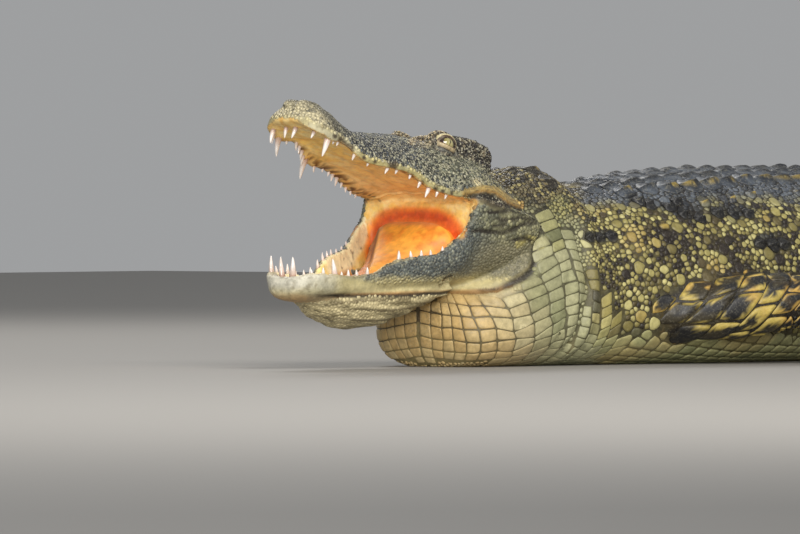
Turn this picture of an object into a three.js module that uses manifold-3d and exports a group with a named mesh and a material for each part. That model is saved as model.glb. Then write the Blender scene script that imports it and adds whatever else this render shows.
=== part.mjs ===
// A life-size Nile crocodile resting on its belly with its jaws agape.
// Millimetres, +Z up. The head points to -X, the tail to +X, the animal's
// left side to -Y. The origin is on the floor, on the flat under the trunk.
//
// Stations along the body are given by X, the distance behind the tip of the
// snout; the tip stands at x = -SNOUT_TO_ORIGIN.
import * as THREE from 'three';
import { mergeVertices } from 'three/addons/utils/BufferGeometryUtils.js';
import Module from 'manifold-3d';

const wasm = await Module();
wasm.setup();
const { Manifold, Mesh } = wasm;

// ---------------------------------------------------------------- dimensions
const SNOUT_TO_ORIGIN = 1000;      // snout tip to the belly flat's centre
const SKULL = 425;                 // skull length with the occiput; the table ends at 0.936 of it
const SKULL_PITCH = 21 * Math.PI / 180;
const LIP_TIP_Z = 352;             // height of the upper lip at the tip
const TOTAL_LENGTH = 3060;         // measured along the back
const GAP = 0.3;                   // parting gap between neighbouring nodes
const BODY_SIDES = 18;
const EYE_R = 17;
const DEG = Math.PI / 180;

// ------------------------------------------------------------ interpolation
// Monotone cubic through the knots of one column of a station table.
function curve(rows, col) {
  const x = rows.map((r) => r[0]);
  const y = rows.map((r) => r[col]);
  const n = x.length;
  const h = [], d = [], m = new Array(n).fill(0);
  for (let i = 0; i < n - 1; i++) { h.push(x[i + 1] - x[i]); d.push((y[i + 1] - y[i]) / h[i]); }
  for (let i = 1; i < n - 1; i++) {
    if (d[i - 1] * d[i] > 0) {
      const w1 = 2 * h[i] + h[i - 1], w2 = h[i] + 2 * h[i - 1];
      m[i] = (w1 + w2) / (w1 / d[i - 1] + w2 / d[i]);
    }
  }
  m[0] = d[0]; m[n - 1] = d[n - 2];
  return (t) => {
    if (t <= x[0]) return y[0];
    if (t >= x[n - 1]) return y[n - 1];
    let i = 0;
    while (t > x[i + 1]) i++;
    const s = (t - x[i]) / h[i];
    return y[i] * (1 + 2 * s) * (1 - s) ** 2 + m[i] * h[i] * s * (1 - s) ** 2
      + y[i + 1] * s * s * (3 - 2 * s) + m[i + 1] * h[i] * s * s * (s - 1);
  };
}

// ------------------------------------------------------------------- solids
// A closed loft through rings of equal length, each ring running the same way
// round, closed by a fan at both ends.
function loft(rings) {
  const n = rings[0].length, pos = [], tri = [];
  for (const r of rings) for (const p of r) pos.push(...p);
  for (let k = 0; k + 1 < rings.length; k++) {
    for (let i = 0; i < n; i++) {
      const a = k * n + i, b = k * n + (i + 1) % n, c = a + n, d = b + n;
      tri.push([a, b, d], [a, d, c]);
    }
  }
  const cap = (k, flip) => {
    const mid = [0, 0, 0];
    for (const p of rings[k]) for (let j = 0; j < 3; j++) mid[j] += p[j] / n;
    const c = pos.length / 3;
    pos.push(...mid);
    for (let i = 0; i < n; i++) {
      const a = k * n + i, b = k * n + (i + 1) % n;
      tri.push(flip ? [c, b, a] : [c, a, b]);
    }
  };
  cap(0, true);
  cap(rings.length - 1, false);
  let vol = 0;
  const P = (i) => pos.slice(3 * i, 3 * i + 3);
  for (const [a, b, c] of tri) {
    const [p, q, r] = [P(a), P(b), P(c)];
    vol += p[0] * (q[1] * r[2] - q[2] * r[1]) - p[1] * (q[0] * r[2] - q[2] * r[0])
      + p[2] * (q[0] * r[1] - q[1] * r[0]);
  }
  const g = new THREE.BufferGeometry();
  g.setAttribute('position', new THREE.Float32BufferAttribute(pos, 3));
  g.setIndex(tri.flatMap((t) => (vol < 0 ? [t[0], t[2], t[1]] : t)));
  return g;
}

function solid(geometry) {
  const g = geometry.clone();
  g.deleteAttribute('normal');
  g.deleteAttribute('uv');
  const m = mergeVertices(g, 1e-4);
  return new Manifold(new Mesh({
    numProp: 3,
    vertProperties: new Float32Array(m.attributes.position.array),
    triVerts: new Uint32Array(m.index.array),
  }));
}

const above = (m, z = 0) => m.trimByPlane([0, 0, 1], z);
// Parts a solid in two at a plane, leaving the parting gap between them.
function part(m, normal, point) {
  const l = Math.hypot(...normal), n = normal.map((v) => v / l);
  const off = n[0] * point[0] + n[1] * point[1] + n[2] * point[2];
  return [m.trimByPlane(n, off + GAP / 2), m.trimByPlane(n.map((v) => -v), -off + GAP / 2)];
}

// The largest body of a solid, without slivers left by a cut.
function largest(m) {
  const all = m.decompose();
  return all.reduce((a, b) => (b.volume() > a.volume() ? b : a));
}

function geometryOf(m) {
  const mesh = m.getMesh();
  const np = mesh.numProp, count = mesh.vertProperties.length / np;
  const p = new Float32Array(count * 3);
  for (let i = 0; i < count; i++) for (let j = 0; j < 3; j++) p[3 * i + j] = mesh.vertProperties[np * i + j];
  const g = new THREE.BufferGeometry();
  g.setAttribute('position', new THREE.BufferAttribute(p, 3));
  g.setIndex(new THREE.BufferAttribute(new Uint32Array(mesh.triVerts), 1));
  g.computeVertexNormals();
  return g;
}

// A tube of elliptical section along a polyline; rows are
// [x, y, z, half width across, half height], `up` leans the sections.
function tube(rows, sides = 10, up = [0, 0, 1]) {
  const P = rows.map((r) => new THREE.Vector3(r[0], r[1], r[2]));
  const U = new THREE.Vector3(...up);
  const rings = rows.map((r, k) => {
    const t = new THREE.Vector3()
      .subVectors(P[Math.min(k + 1, P.length - 1)], P[Math.max(k - 1, 0)]).normalize();
    const side = new THREE.Vector3().crossVectors(U, t).normalize();
    const top = new THREE.Vector3().crossVectors(t, side).normalize();
    const ring = [];
    for (let i = 0; i < sides; i++) {
      const a = (i + 0.5) / sides * 2 * Math.PI;
      const q = P[k].clone().addScaledVector(side, r[3] * Math.cos(a)).addScaledVector(top, r[4] * Math.sin(a));
      ring.push([q.x, q.y, q.z]);
    }
    return ring;
  });
  return solid(loft(rings));
}

const sgnpow = (c, e) => Math.sign(c) * Math.abs(c) ** e;

// ------------------------------------------------------------- the backbone
// Heading of the centreline against the distance behind the snout tip, in
// degrees toward the animal's left.
const HEADING = [[0, 0], [1120, 0], [1500, 8], [2250, 23], [3060, 13]];
const heading = curve(HEADING, 1);
const SPINE = (() => {
  const out = [];
  let x = -SNOUT_TO_ORIGIN, y = 0;
  for (let t = 0; t <= TOTAL_LENGTH + 20; t += 10) {
    const h = heading(t) * DEG;
    out.push([x, y, h]);
    x += 10 * Math.cos(h); y -= 10 * Math.sin(h);
  }
  return out;
})();
function onSpine(t, a, z) {
  const k = Math.max(0, Math.min(SPINE.length - 2, t / 10)), i = Math.floor(k), f = t < 0 ? t / 10 : k - i;
  const [x0, y0, h0] = SPINE[i], [x1, y1, h1] = SPINE[i + 1];
  const x = x0 + (x1 - x0) * f, y = y0 + (y1 - y0) * f, h = h0 + (h1 - h0) * Math.min(1, Math.max(0, f));
  // lateral axis: positive toward the animal's right (+Y when heading is 0)
  return [x + a * Math.sin(h), y + a * Math.cos(h), z];
}

// ------------------------------------------------------- neck, trunk, tail
// [X, half width, top, bottom, height of greatest width, top power, bottom power]
const BODY = [
  [298, 52, 96, 44, 66, 2.0, 2.0],
  [309, 84, 108, 16, 58, 2.1, 2.2],
  [330, 107, 124, -3, 56, 2.2, 2.5],
  [366, 122, 152, -5, 62, 2.2, 2.7],
  [405, 132, 212, -5, 76, 2.2, 2.8],
  [450, 139, 276, -5, 92, 2.0, 2.8],
  [484, 142, 293, -5, 96, 1.85, 2.8],
  [532, 147, 298, -5, 96, 1.7, 2.8],
  [566, 151, 295, -5, 95, 1.7, 2.8],
  [600, 156, 268, -5, 94, 1.85, 2.8],
  [650, 169, 269, -5, 96, 2.1, 2.8],
  [740, 190, 282, -5, 100, 2.1, 2.9],
  [850, 210, 290, -6, 102, 2.1, 3.0],
  [960, 222, 294, -6, 102, 2.1, 3.0],
  [1090, 226, 295, -6, 102, 2.1, 3.0],
  [1220, 218, 291, -6, 100, 2.1, 3.0],
  [1340, 192, 272, -5, 98, 2.1, 2.9],
  [1440, 154, 248, -5, 98, 2.1, 2.7],
  [1530, 122, 224, -5, 94, 2.1, 2.5],
  [1700, 97, 190, -5, 82, 2.1, 2.4],
  [1900, 78, 163, -5, 70, 2.1, 2.3],
  [2100, 63, 142, -5, 60, 2.1, 2.3],
  [2300, 50, 124, -5, 52, 2.1, 2.2],
  [2500, 39, 106, -5, 44, 2.1, 2.2],
  [2700, 28, 86, -4, 36, 2.1, 2.2],
  [2880, 18, 62, -4, 26, 2.1, 2.2],
  [3000, 11, 40, -4, 18, 2.1, 2.2],
  [3056, 5, 22, -3, 10, 2.0, 2.0],
];
// Height of the paired crest of upright scutes along the front half of the tail.
const PAIR_CREST = [[1440, 0], [1530, 7], [1800, 14], [2060, 22], [2150, 20], [2200, 0]];
const pairCrest = curve(PAIR_CREST, 1);
const ridge = (t, c, s) => (s > 0 && Math.abs(c) > 0.3 && Math.abs(c) < 0.5 ? pairCrest(t) : 0);
const bodyCol = [null, ...[1, 2, 3, 4, 5, 6].map((c) => curve(BODY, c))];
function bodyRing(t, grow = 0, sides = BODY_SIDES) {
  const [w, top, bot, mid, pu, pl] = [1, 2, 3, 4, 5, 6].map((c) => bodyCol[c](t));
  const ring = [];
  for (let i = 0; i < sides; i++) {
    const a = (i + 0.5) / sides * 2 * Math.PI, c = Math.cos(a), s = Math.sin(a);
    const p = s > 0 ? pu : pl;
    const z = s > 0 ? mid + (top + grow - mid) * Math.abs(s) ** (2 / p)
      : mid - (mid - bot + grow) * Math.abs(s) ** (2 / p);
    ring.push(onSpine(t, (w + grow) * sgnpow(c, 2 / p), z + ridge(t, c, s)));
  }
  return ring;
}
const bodyLoft = (ts, grow = 0) => solid(loft(ts.map((t) => bodyRing(t, grow))));

// ------------------------------------------------------------ upper head
// Fractions of the skull length in the skull's own frame, which is pitched up:
// [s behind the tip, half width at the lip, top, lip level, palate level, top power, side power]
const HEAD = [
  [-0.012, 0.062, 0.050, 0.022, 0.024, 2.4, 2.3],
  [0.002, 0.094, 0.082, 0.008, 0.016, 2.4, 2.3],
  [0.030, 0.112, 0.106, 0.004, 0.014, 2.3, 2.2],
  [0.065, 0.124, 0.124, 0.002, 0.014, 2.2, 2.0],
  [0.115, 0.129, 0.125, 0.000, 0.013, 2.2, 1.9],
  [0.170, 0.114, 0.116, 0.016, 0.023, 2.2, 1.9],
  [0.215, 0.124, 0.105, 0.008, 0.022, 2.2, 1.9],
  [0.278, 0.148, 0.101, -0.014, 0.018, 2.2, 1.9],
  [0.330, 0.161, 0.117, -0.010, 0.018, 2.1, 1.8],
  [0.400, 0.178, 0.140, 0.006, 0.022, 2.0, 1.7],
  [0.480, 0.190, 0.168, 0.015, 0.028, 1.9, 1.6],
  [0.580, 0.206, 0.196, 0.002, 0.026, 1.9, 1.6],
  [0.660, 0.226, 0.212, 0.006, 0.028, 2.0, 1.6],
  [0.740, 0.246, 0.222, 0.022, 0.036, 2.1, 1.6],
  [0.820, 0.262, 0.228, 0.030, 0.020, 2.1, 1.7],
  [0.940, 0.275, 0.214, 0.015, -0.005, 2.0, 1.8],
  [1.060, 0.262, 0.176, 0.010, -0.010, 2.0, 2.0],
];
const headCol = [null, ...[1, 2, 3, 4, 5, 6].map((c) => curve(HEAD, c))];
// skull frame (s, a, v) in millimetres to the model frame
function skull(s, a, v) {
  const c = Math.cos(SKULL_PITCH), n = Math.sin(SKULL_PITCH);
  return [s * c + v * n - SNOUT_TO_ORIGIN, a, LIP_TIP_Z - s * n + v * c];
}
function headRing(f, grow = 0) {
  const [w, top, lip, pal, pt, ps] = [1, 2, 3, 4, 5, 6].map((c) => headCol[c](f));
  const L = SKULL, half = [];
  const W = w * L + grow, T = top * L + grow, B = lip * L - grow, Q = pal * L - grow;
  for (const d of [0, 24, 46, 64, 79, 90]) {
    const c = Math.cos(d * DEG), s = Math.sin(d * DEG);
    half.push([W * s ** (2 / ps), B + (T - B) * Math.max(0, c) ** (2 / pt)]);
  }
  half.push([W * 0.86, B - 0.4], [W * 0.72, Q], [W * 0.36, Q + 1.5], [0, Q + 2]);
  const ring = half.map(([a, v]) => [a, v]);
  for (let i = half.length - 2; i > 0; i--) ring.push([-half[i][0], half[i][1]]);
  return ring.map(([a, v]) => skull(f * L, a, v));
}
const HEAD_S = HEAD.map((r) => r[0]);
const headLoft = (grow = 0) => solid(loft(HEAD_S.map((f, i) => headRing(
  f + (i === 0 ? -grow / SKULL : i === HEAD_S.length - 1 ? grow / SKULL : 0), grow))));

// The skull table behind the eyes: [s, half width, top, underside]
const TABLE = [
  [0.680, 0.040, 0.236, 0.120],
  [0.750, 0.098, 0.264, 0.100],
  [0.824, 0.130, 0.274, 0.100],
  [0.876, 0.142, 0.276, 0.100],
  [0.910, 0.146, 0.260, 0.100],
  [0.936, 0.138, 0.226, 0.100],
];
function tableLoft(grow = 0) {
  const L = SKULL;
  return solid(loft(TABLE.map(([f, w, t, b], i) => {
    const W = w * L + grow, T = t * L + grow, B = b * L - grow;
    const s = f * L + (i === 0 ? -grow : i === TABLE.length - 1 ? grow : 0);
    return [[0, T + 1], [W * 0.6, T], [W * 0.93, T], [W, T - 6], [W * 0.9, B], [0, B],
      [-W * 0.9, B], [-W, T - 6], [-W * 0.93, T], [-W * 0.6, T]].map(([a, v]) => skull(s, a, v));
  })));
}

// An ellipsoid in the skull frame; centre and radii in skull lengths.
function skullEllipsoid(c, r, grow = 0, wide = 14, high = 8) {
  const g = new THREE.SphereGeometry(1, wide, high);
  const p = g.attributes.position;
  for (let i = 0; i < p.count; i++) {
    const q = skull(c[0] * SKULL + p.getX(i) * (r[0] * SKULL + grow),
      c[1] * SKULL + p.getY(i) * (r[1] * SKULL + grow),
      c[2] * SKULL + p.getZ(i) * (r[2] * SKULL + grow));
    p.setXYZ(i, ...q);
  }
  const m = solid(g);
  return m.volume() < 0 ? solid(flipped(g)) : m;
}
function flipped(g) {
  const f = g.clone(), ix = f.index.array;
  for (let i = 0; i < ix.length; i += 3) { const t = ix[i + 1]; ix[i + 1] = ix[i + 2]; ix[i + 2] = t; }
  return f;
}
const EYE = [0.691, 0.102, 0.202];           // eyeball centre, skull lengths
const side = (sign, v) => [v[0], sign * v[1], v[2]];

// ------------------------------------------------------------ lower jaw
// [X, half width, bottom, rim, floor of the mouth]
const JAW = [
  [-12, 20, 108, 130, 128],
  [-5, 32, 103, 138, 135],
  [8, 43, 100, 141, 136],
  [30, 51, 98, 140, 134],
  [60, 52, 98, 138, 130],
  [95, 54, 98, 136, 124],
  [130, 62, 99, 140, 120],
  [158, 69, 100, 155, 118],
  [190, 78, 103, 162, 119],
  [240, 93, 108, 168, 122],
  [268, 100, 110, 186, 124],
  [292, 105, 112, 206, 132],
  [305, 108, 113, 232, 170],
  [312, 110, 114, 258, 244],
  [350, 115, 116, 246, 236],
  [395, 123, 124, 232, 222],
  [424, 126, 142, 222, 212],
  [447, 120, 170, 210, 200],
];
const jawCol = [null, ...[1, 2, 3, 4].map((c) => curve(JAW, c))];
// The right ramus bows out and up a little more: [X, outward, upward]
const BOW = [[120, 0, 0], [160, 4, 1], [200, 8, 3], [237, 8, 6], [267, 8, 10], [287, 8, 10], [306, 6, 1], [330, 0, 0]];
const bowOut = curve(BOW, 1), bowUp = curve(BOW, 2);
function bowed([a, z], X, w, bot, rim) {
  const k = Math.max(0, a) / w, v = Math.max(0, Math.min(1, (z - bot) / (rim - bot)));
  return [a + k * bowOut(X), z + k * v * bowUp(X)];
}
function jawRing(X, grow = 0) {
  const [w, bot, rim, flr] = [1, 2, 3, 4].map((c) => jawCol[c](X));
  const W = w + grow, B = bot - grow, R = rim + grow, lip = Math.min(15, w * 0.36);
  const half = [];
  for (const d of [90, 70, 50, 32, 16, 0]) {
    const c = Math.cos(d * DEG), s = Math.sin(d * DEG);
    half.push([W * Math.max(0, c) ** (2 / 2.5), (R - 6) - (R - 6 - B) * s ** (2 / 2.5)]);
  }
  half[0][0] = 0;
  half.push([W - 3, R - 1], [w - lip * 0.75, R], [w - grow - lip * 1.1, (flr + R) / 2 + grow],
    [w - grow - lip * 1.5, flr + grow], [0, flr - 1 + grow]);
  const ring = half.slice();
  for (let i = half.length - 2; i > 0; i--) ring.push([-half[i][0], half[i][1]]);
  return ring.map((p) => bowed(p, X, w, bot, rim)).map(([a, z]) => [X - SNOUT_TO_ORIGIN, a, z]);
}
const jawLoft = (grow = 0) => solid(loft(JAW.map((r, i) => jawRing(
  r[0] + (i === 0 ? -grow : i === JAW.length - 1 ? grow : 0), grow))));
// The gular pouch sagging between the rami: [X, half width, bottom, top]
const POUCH = [[36, 22, 96, 106], [64, 36, 77, 108], [100, 49, 62, 110], [135, 58, 57, 112],
  [168, 64, 59, 112], [205, 69, 67, 114], [245, 73, 82, 116], [296, 77, 104, 118]];
const pouchLoft = (grow = 0) => solid(loft(POUCH.map(([X, w, b, t], i) => {
  const ring = [];
  for (let k = 0; k < 10; k++) {
    const a = (k + 0.5) / 10 * 2 * Math.PI, s = Math.sin(a);
    ring.push([X - SNOUT_TO_ORIGIN + (i === 0 ? -grow : i === POUCH.length - 1 ? grow : 0),
      (w + grow) * Math.cos(a), s > 0 ? t : t - (t - b + grow) * Math.abs(s) ** 0.8]);
  }
  return ring;
})));

// ------------------------------------------------------------------ teeth
// Upper teeth per side: [s in skull lengths, length]; the far side is fuller.
const UPPER_LEFT = [[0.006, 17], [0.046, 12], [0.098, 30], [0.135, 7], [0.167, 9], [0.243, 11], [0.300, 7],
  [0.382, 13], [0.422, 9], [0.485, 9], [0.535, 12], [0.578, 18], [0.616, 11], [0.653, 9]];
const UPPER_RIGHT = [[0.006, 17], [0.030, 24], [0.062, 17], [0.096, 32], [0.135, 8], [0.174, 15],
  [0.200, 15], [0.228, 17], [0.250, 18], [0.272, 33], [0.348, 12], [0.410, 8], [0.452, 10], [0.478, 15],
  [0.508, 17], [0.545, 10], [0.577, 10], [0.615, 9], [0.655, 8]];
// Lower teeth per side: [X, length]
const LOWER_LEFT = [[-3, 29], [14, 8], [32, 12], [57, 26], [72, 8], [86, 12], [103, 12], [121, 13],
  [176, 16], [197, 12], [214, 11], [230, 10], [250, 9]];
const LOWER_RIGHT = [[-3, 29], [9, 28], [32, 14], [57, 18], [76, 9], [96, 11], [116, 13], [143, 15],
  [163, 14], [181, 12], [196, 11], [215, 9], [233, 9], [250, 8]];
function tooth(root, dir, length) {
  const r = 1.9 + length * 0.125, n = 3, D = new THREE.Vector3(...dir).normalize();
  const A = new THREE.Vector3(1, 0, 0).cross(D).normalize(), B = D.clone().cross(A);
  const ring = (h, q) => [...Array(n)].map((_, i) => {
    const a = i / n * 2 * Math.PI;
    const p = new THREE.Vector3(...root).addScaledVector(D, h)
      .addScaledVector(A, q * Math.cos(a)).addScaledVector(B, q * Math.sin(a));
    return [p.x, p.y, p.z];
  });
  return solid(loft([ring(-4, r), ring(length, 0.5)]));
}
function upperTooth([f, len], sign) {
  const W = headCol[1](f) * SKULL, lip = headCol[3](f) * SKULL;
  const a = f < 0.02 ? 9 : f < 0.05 ? 0.74 * W : W - 7.5;
  const s = f < 0.02 ? 10 : f * SKULL;
  const root = skull(s, sign * a, lip + 2), tip = skull(s - 0.08 * len, sign * (a - 0.06 * len), lip - len);
  return tooth(root, tip.map((v, i) => v - root[i]), len);
}
function lowerTooth([X, len], sign) {
  const W = jawCol[1](X), rim = jawCol[3](X);
  const a = X < 0 ? 10 : X < 20 ? W - 9 : W - 7;
  const [ya, za] = bowed([sign * a, rim - 1], X, W, jawCol[2](X), rim);
  const root = [X + (X < 0 ? 6 : 0) - SNOUT_TO_ORIGIN, ya, za];
  return tooth(root, [-0.1, sign * 0.08, 1], len);
}

// ------------------------------------------------------------ build the head
const SIDES = [[-1, 'left'], [1, 'right']];
function headSolid(grow = 0) {
  let h = headLoft(grow).add(tableLoft(grow));
  for (const [sg] of SIDES) {
    h = h.add(skullEllipsoid(side(sg, [0.700, 0.088, 0.204]), [0.074, 0.042, 0.055], grow, 10, 6));
    h = h.add(skullEllipsoid(side(sg, [0.066, 0.026, 0.090]), [0.068, 0.044, 0.036], grow, 8, 5));
  }
  return h;
}
const headFat = headSolid(GAP);
const eyes = SIDES.map(([sg]) => skullEllipsoid(side(sg, EYE), [EYE_R / SKULL, EYE_R / SKULL, EYE_R / SKULL], 0, 10, 7));
const sockets = SIDES.map(([sg]) => skullEllipsoid(side(sg, EYE), [EYE_R / SKULL, EYE_R / SKULL, EYE_R / SKULL], GAP * 1.6, 10, 7));
let head = headSolid();
const SHOWN = 10.5;                        // shorter teeth are only stubs in the gum
for (const t of UPPER_LEFT.filter((q) => q[1] > SHOWN)) head = head.add(upperTooth(t, -1));
for (const t of UPPER_RIGHT.filter((q) => q[1] > SHOWN)) head = head.add(upperTooth(t, 1));
for (const s of sockets) head = head.subtract(s);

let jaw = jawLoft().add(pouchLoft());
const jawFat = jawLoft(GAP).add(pouchLoft(GAP));
for (const t of LOWER_LEFT.filter((q) => q[1] > SHOWN)) jaw = jaw.add(lowerTooth(t, -1));
for (const t of LOWER_RIGHT.filter((q) => q[1] > SHOWN)) jaw = jaw.add(lowerTooth(t, 1));
jaw = jaw.subtract(headFat);

// Tongue, from its tip to the fold that closes the throat: [X, half width, top, bottom]
const TONGUE = [[70, 9, 134, 124], [100, 16, 138, 119], [140, 22, 144, 115], [180, 30, 152, 114],
  [212, 41, 164, 118], [240, 54, 182, 120], [264, 68, 202, 124], [284, 78, 214, 128], [298, 76, 210, 136],
  [306, 60, 190, 150]];
const tongue = solid(loft(TONGUE.map(([X, w, t, b]) => {
  const ring = [];
  for (let k = 0; k < 10; k++) {
    const a = (k + 0.5) / 10 * 2 * Math.PI, c = Math.cos(a), s = Math.sin(a), m = (t + b) / 2;
    ring.push([X - SNOUT_TO_ORIGIN, w * sgnpow(c, 0.7), m + (s > 0 ? t - m : m - b) * sgnpow(s, 0.7)]);
  }
  return ring;
}))).subtract(jawFat);

// --------------------------------------------------- neck, trunk and tail
const between = (a, b, n) => [...Array(n + 1)].map((_, i) => a + (b - a) * i / n);
const NECK_T = [298, 309, 330, 366, 405, 455, 500, 548, 600, 640];
const TRUNK1_T = [640, 700, 770, 860, 950, 1032];
const TRUNK2_T = [1032, 1120, 1215, 1305, 1385, 1440, 1490];
const TAIL_CUTS = [1490, 1860, 2250, 2650, 3056];
const whole = above(bodyLoft([...NECK_T, ...TRUNK1_T.slice(1), ...TRUNK2_T.slice(1),
  ...TAIL_CUTS.slice(1).flatMap((c, i) => between(TAIL_CUTS[i], c, 4).slice(1))]));
const wholeFat = bodyLoft([...NECK_T, ...TRUNK1_T.slice(1), ...TRUNK2_T.slice(1), ...between(1490, 1860, 4).slice(1)], GAP);

// A plane across the body at distance t behind the snout tip.
const crossPlane = (t) => {
  const h = heading(t) * DEG;
  return [[Math.cos(h), -Math.sin(h), 0], onSpine(t, 0, 100)];
};
let rest = whole;
const lengths = [];
for (const t of [640, 1032, 1490, 1860, 2250, 2650]) {
  const [back, front] = part(rest, ...crossPlane(t));
  lengths.push(front);
  rest = back;
}
lengths.push(rest);
let [neck, trunk1, trunk2, ...tails] = lengths;
neck = neck.subtract(headFat).subtract(jawFat);

// Upright scutes of the tail's single row.
function scute(t, a, height, length, thick, lean) {
  const w = bodyCol[1](t), top = bodyCol[2](t), mid = bodyCol[4](t), p = bodyCol[5](t);
  const z = mid + (top - mid) * (1 - Math.min(0.98, Math.abs(a) / w) ** p) ** (1 / p);
  const foot = z - 9;
  const rings = [
    [[t - length / 2, a - thick / 2, foot], [t + length / 2, a - thick / 2, foot],
      [t + length / 2, a + thick / 2, foot], [t - length / 2, a + thick / 2, foot]],
    [[t + length * 0.12, a + lean - 1, z + height], [t + length * 0.5, a + lean - 1, z + height * 0.84],
      [t + length * 0.5, a + lean + 1, z + height * 0.84], [t + length * 0.12, a + lean + 1, z + height]],
  ].map((r) => r.map(([tt, aa, zz]) => onSpine(tt, aa, zz)));
  return solid(loft(rings));
}
const tailOf = (t) => (t < 1860 ? 0 : t < 2250 ? 1 : t < 2650 ? 2 : 3);
const CREST_STEP = 43;
for (let t = 2200; t < 3030; t += CREST_STEP * (t < 2300 ? 1 : 1 - 0.00045 * (t - 2300))) {
  const cut = TAIL_CUTS.slice(1, 4).find((c) => Math.abs(t - c) < 20);
  if (cut) t = cut + 20;
  const k = tailOf(t), f = (t - 2200) / 830;
  tails[k] = tails[k].add(scute(t, 0, 40 - 24 * f * f, 31 - 9 * f, 9 - 4 * f, 0));
}

// ------------------------------------------------------------------- legs
// Each leg is one tube from inside the body to the wrist or ankle, parted at
// the elbow or knee. Points are [t behind the snout, lateral, z] in the
// body's frame, lateral positive outward; then half width and half height.
const at = (sg, [t, a, z, ...r]) => {
  const straight = onSpine(t, sg * a, z);
  return [...straight, ...r];
};
const FORE = [
  [662, 104, 74, 48, 38], [712, 150, 76, 50, 43], [768, 192, 82, 50, 47], [828, 228, 90, 47, 47],
  [884, 258, 92, 40, 41], [904, 290, 72, 33, 33], [894, 322, 50, 27, 26], [874, 348, 32, 23, 21],
];
const HIND = [
  [1420, 70, 118, 64, 60], [1392, 118, 112, 66, 62], [1352, 176, 108, 60, 56], [1312, 232, 104, 50, 48],
  [1292, 276, 96, 42, 42], [1304, 308, 80, 38, 36], [1334, 334, 58, 32, 28], [1362, 352, 34, 28, 22],
];
// Foot: sole outline [forward, across] from heel to toes, and its toes
// [base forward, base across, angle, length, half width, has claw]
const FOREFOOT = {
  palm: [[-20, 22, 17], [0, 25, 17], [26, 33, 15], [50, 36, 12], [64, 33, 9]],
  toes: [[50, -27, -34, 44, 8.5, true], [60, -14, -14, 56, 8.5, true], [63, 1, 2, 60, 8.5, true],
    [58, 15, 20, 52, 7.5, false], [46, 27, 40, 42, 7, false]],
};
const HINDFOOT = {
  palm: [[-24, 24, 20], [6, 27, 19], [48, 34, 17], [92, 40, 13], [112, 37, 10]],
  toes: [[98, -27, -22, 64, 10, true], [110, -10, -7, 84, 10, true], [110, 9, 8, 88, 9.5, true],
    [98, 26, 25, 74, 8.5, false]],
};
function placed(origin, angle, [f, c, z]) {
  const ca = Math.cos(angle), sa = Math.sin(angle);
  return [origin[0] + f * ca - c * sa, origin[1] + f * sa + c * ca, z];
}
function foot(spec, origin, angle, sg) {
  const place = (q) => placed(origin, angle, [q[0], -sg * q[1], q[2]]);
  let m = solid(loft(spec.palm.map(([f, w, h]) => {
    const ring = [];
    for (let i = 0; i < 8; i++) {
      const a = (i + 0.5) / 8 * 2 * Math.PI;
      ring.push(place([f, w * sgnpow(Math.cos(a), 0.8), h * 0.8 + (h * 1.1) * Math.sin(a)]));
    }
    return ring;
  })));
  const claws = [];
  for (const [bf, bc, deg, len, hw, clawed] of spec.toes) {
    const ca = Math.cos(deg * DEG), sa = Math.sin(deg * DEG);
    const along = (d, c, z) => place([bf + d * ca - c * sa, bc + d * sa + c * ca, z]);
    const ringAt = (d, w, zc, h) => [...Array(5)].map((_, i) => {
      const a = (i + 0.25) / 5 * 2 * Math.PI;
      return along(d, w * Math.cos(a), zc + h * Math.sin(a));
    });
    m = m.add(solid(loft([ringAt(-20, hw * 1.1, 7, 9.5),
      ringAt(len, hw * (clawed ? 0.66 : 0.5), 5.4, clawed ? 6 : 5)])));
    if (clawed) {
      const c0 = len + GAP, cl = 11 + hw * 1.2;
      claws.push(above(solid(loft([ringAt(c0, 4.6, 6, 5.2), ringAt(c0 + 0.45 * cl, 3.6, 5.8, 4.4),
        ringAt(c0 + 0.8 * cl, 1.9, 3.6, 2.4), ringAt(c0 + cl, 0.6, 1.7, 0.7)]))));
    }
  }
  return [above(m), claws];
}
// grouped result of one leg: [upper, lower, foot, claws]
function leg(rows, sg, spec, turn) {
  const pts = rows.map((r) => at(sg, r));
  const knee = pts[4], n = pts.length;
  const limb = above(tube(pts, 10));
  // plane that halves the bend
  const before = new THREE.Vector3(knee[0] - pts[3][0], knee[1] - pts[3][1], knee[2] - pts[3][2]).normalize();
  const after = new THREE.Vector3(pts[5][0] - knee[0], pts[5][1] - knee[1], pts[5][2] - knee[2]).normalize();
  const bis = before.clone().add(after).normalize();
  const [lowerAll, upperAll] = part(limb, [bis.x, bis.y, bis.z], knee.slice(0, 3));
  const end = pts[n - 1], prev = pts[n - 2];
  const angle = turn;
  const [footAll, claws] = foot(spec, [end[0], end[1]], angle, sg);
  // the ankle plane lies just above the foot's back, dipping toward its heel
  const ank = [0.25 * Math.cos(angle), 0.25 * Math.sin(angle), -1];
  const point = [end[0], end[1], spec === FOREFOOT ? 33 : 37];
  const joined = lowerAll.add(footAll);
  const [footPart, lowerPart] = part(joined, ank, point);
  return [upperAll.subtract(wholeFat), lowerPart.subtract(wholeFat), footPart, claws];
}

// ------------------------------------------------------------------ scene
const group = new THREE.Group();
function put(name, m, color, roughness = 0.7) {
  const mesh = new THREE.Mesh(geometryOf(largest(m)), new THREE.MeshStandardMaterial({ color, roughness, metalness: 0 }));
  mesh.name = name;
  group.add(mesh);
  return mesh;
}
put('head', head, 0x4c5046);
put('lower_jaw', jaw, 0x8d8a66);
put('tongue', tongue, 0xe08a2c, 0.45);
SIDES.forEach(([, n], i) => put(`eye_${n}`, eyes[i], 0xa9a36c, 0.15));
put('neck', neck, 0x9a9a70);
put('trunk_front', trunk1, 0x55523a);
put('trunk_rear', trunk2, 0x55523a);
tails.forEach((m, i) => put(`tail_${i + 1}`, m, 0x4b4936));

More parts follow.
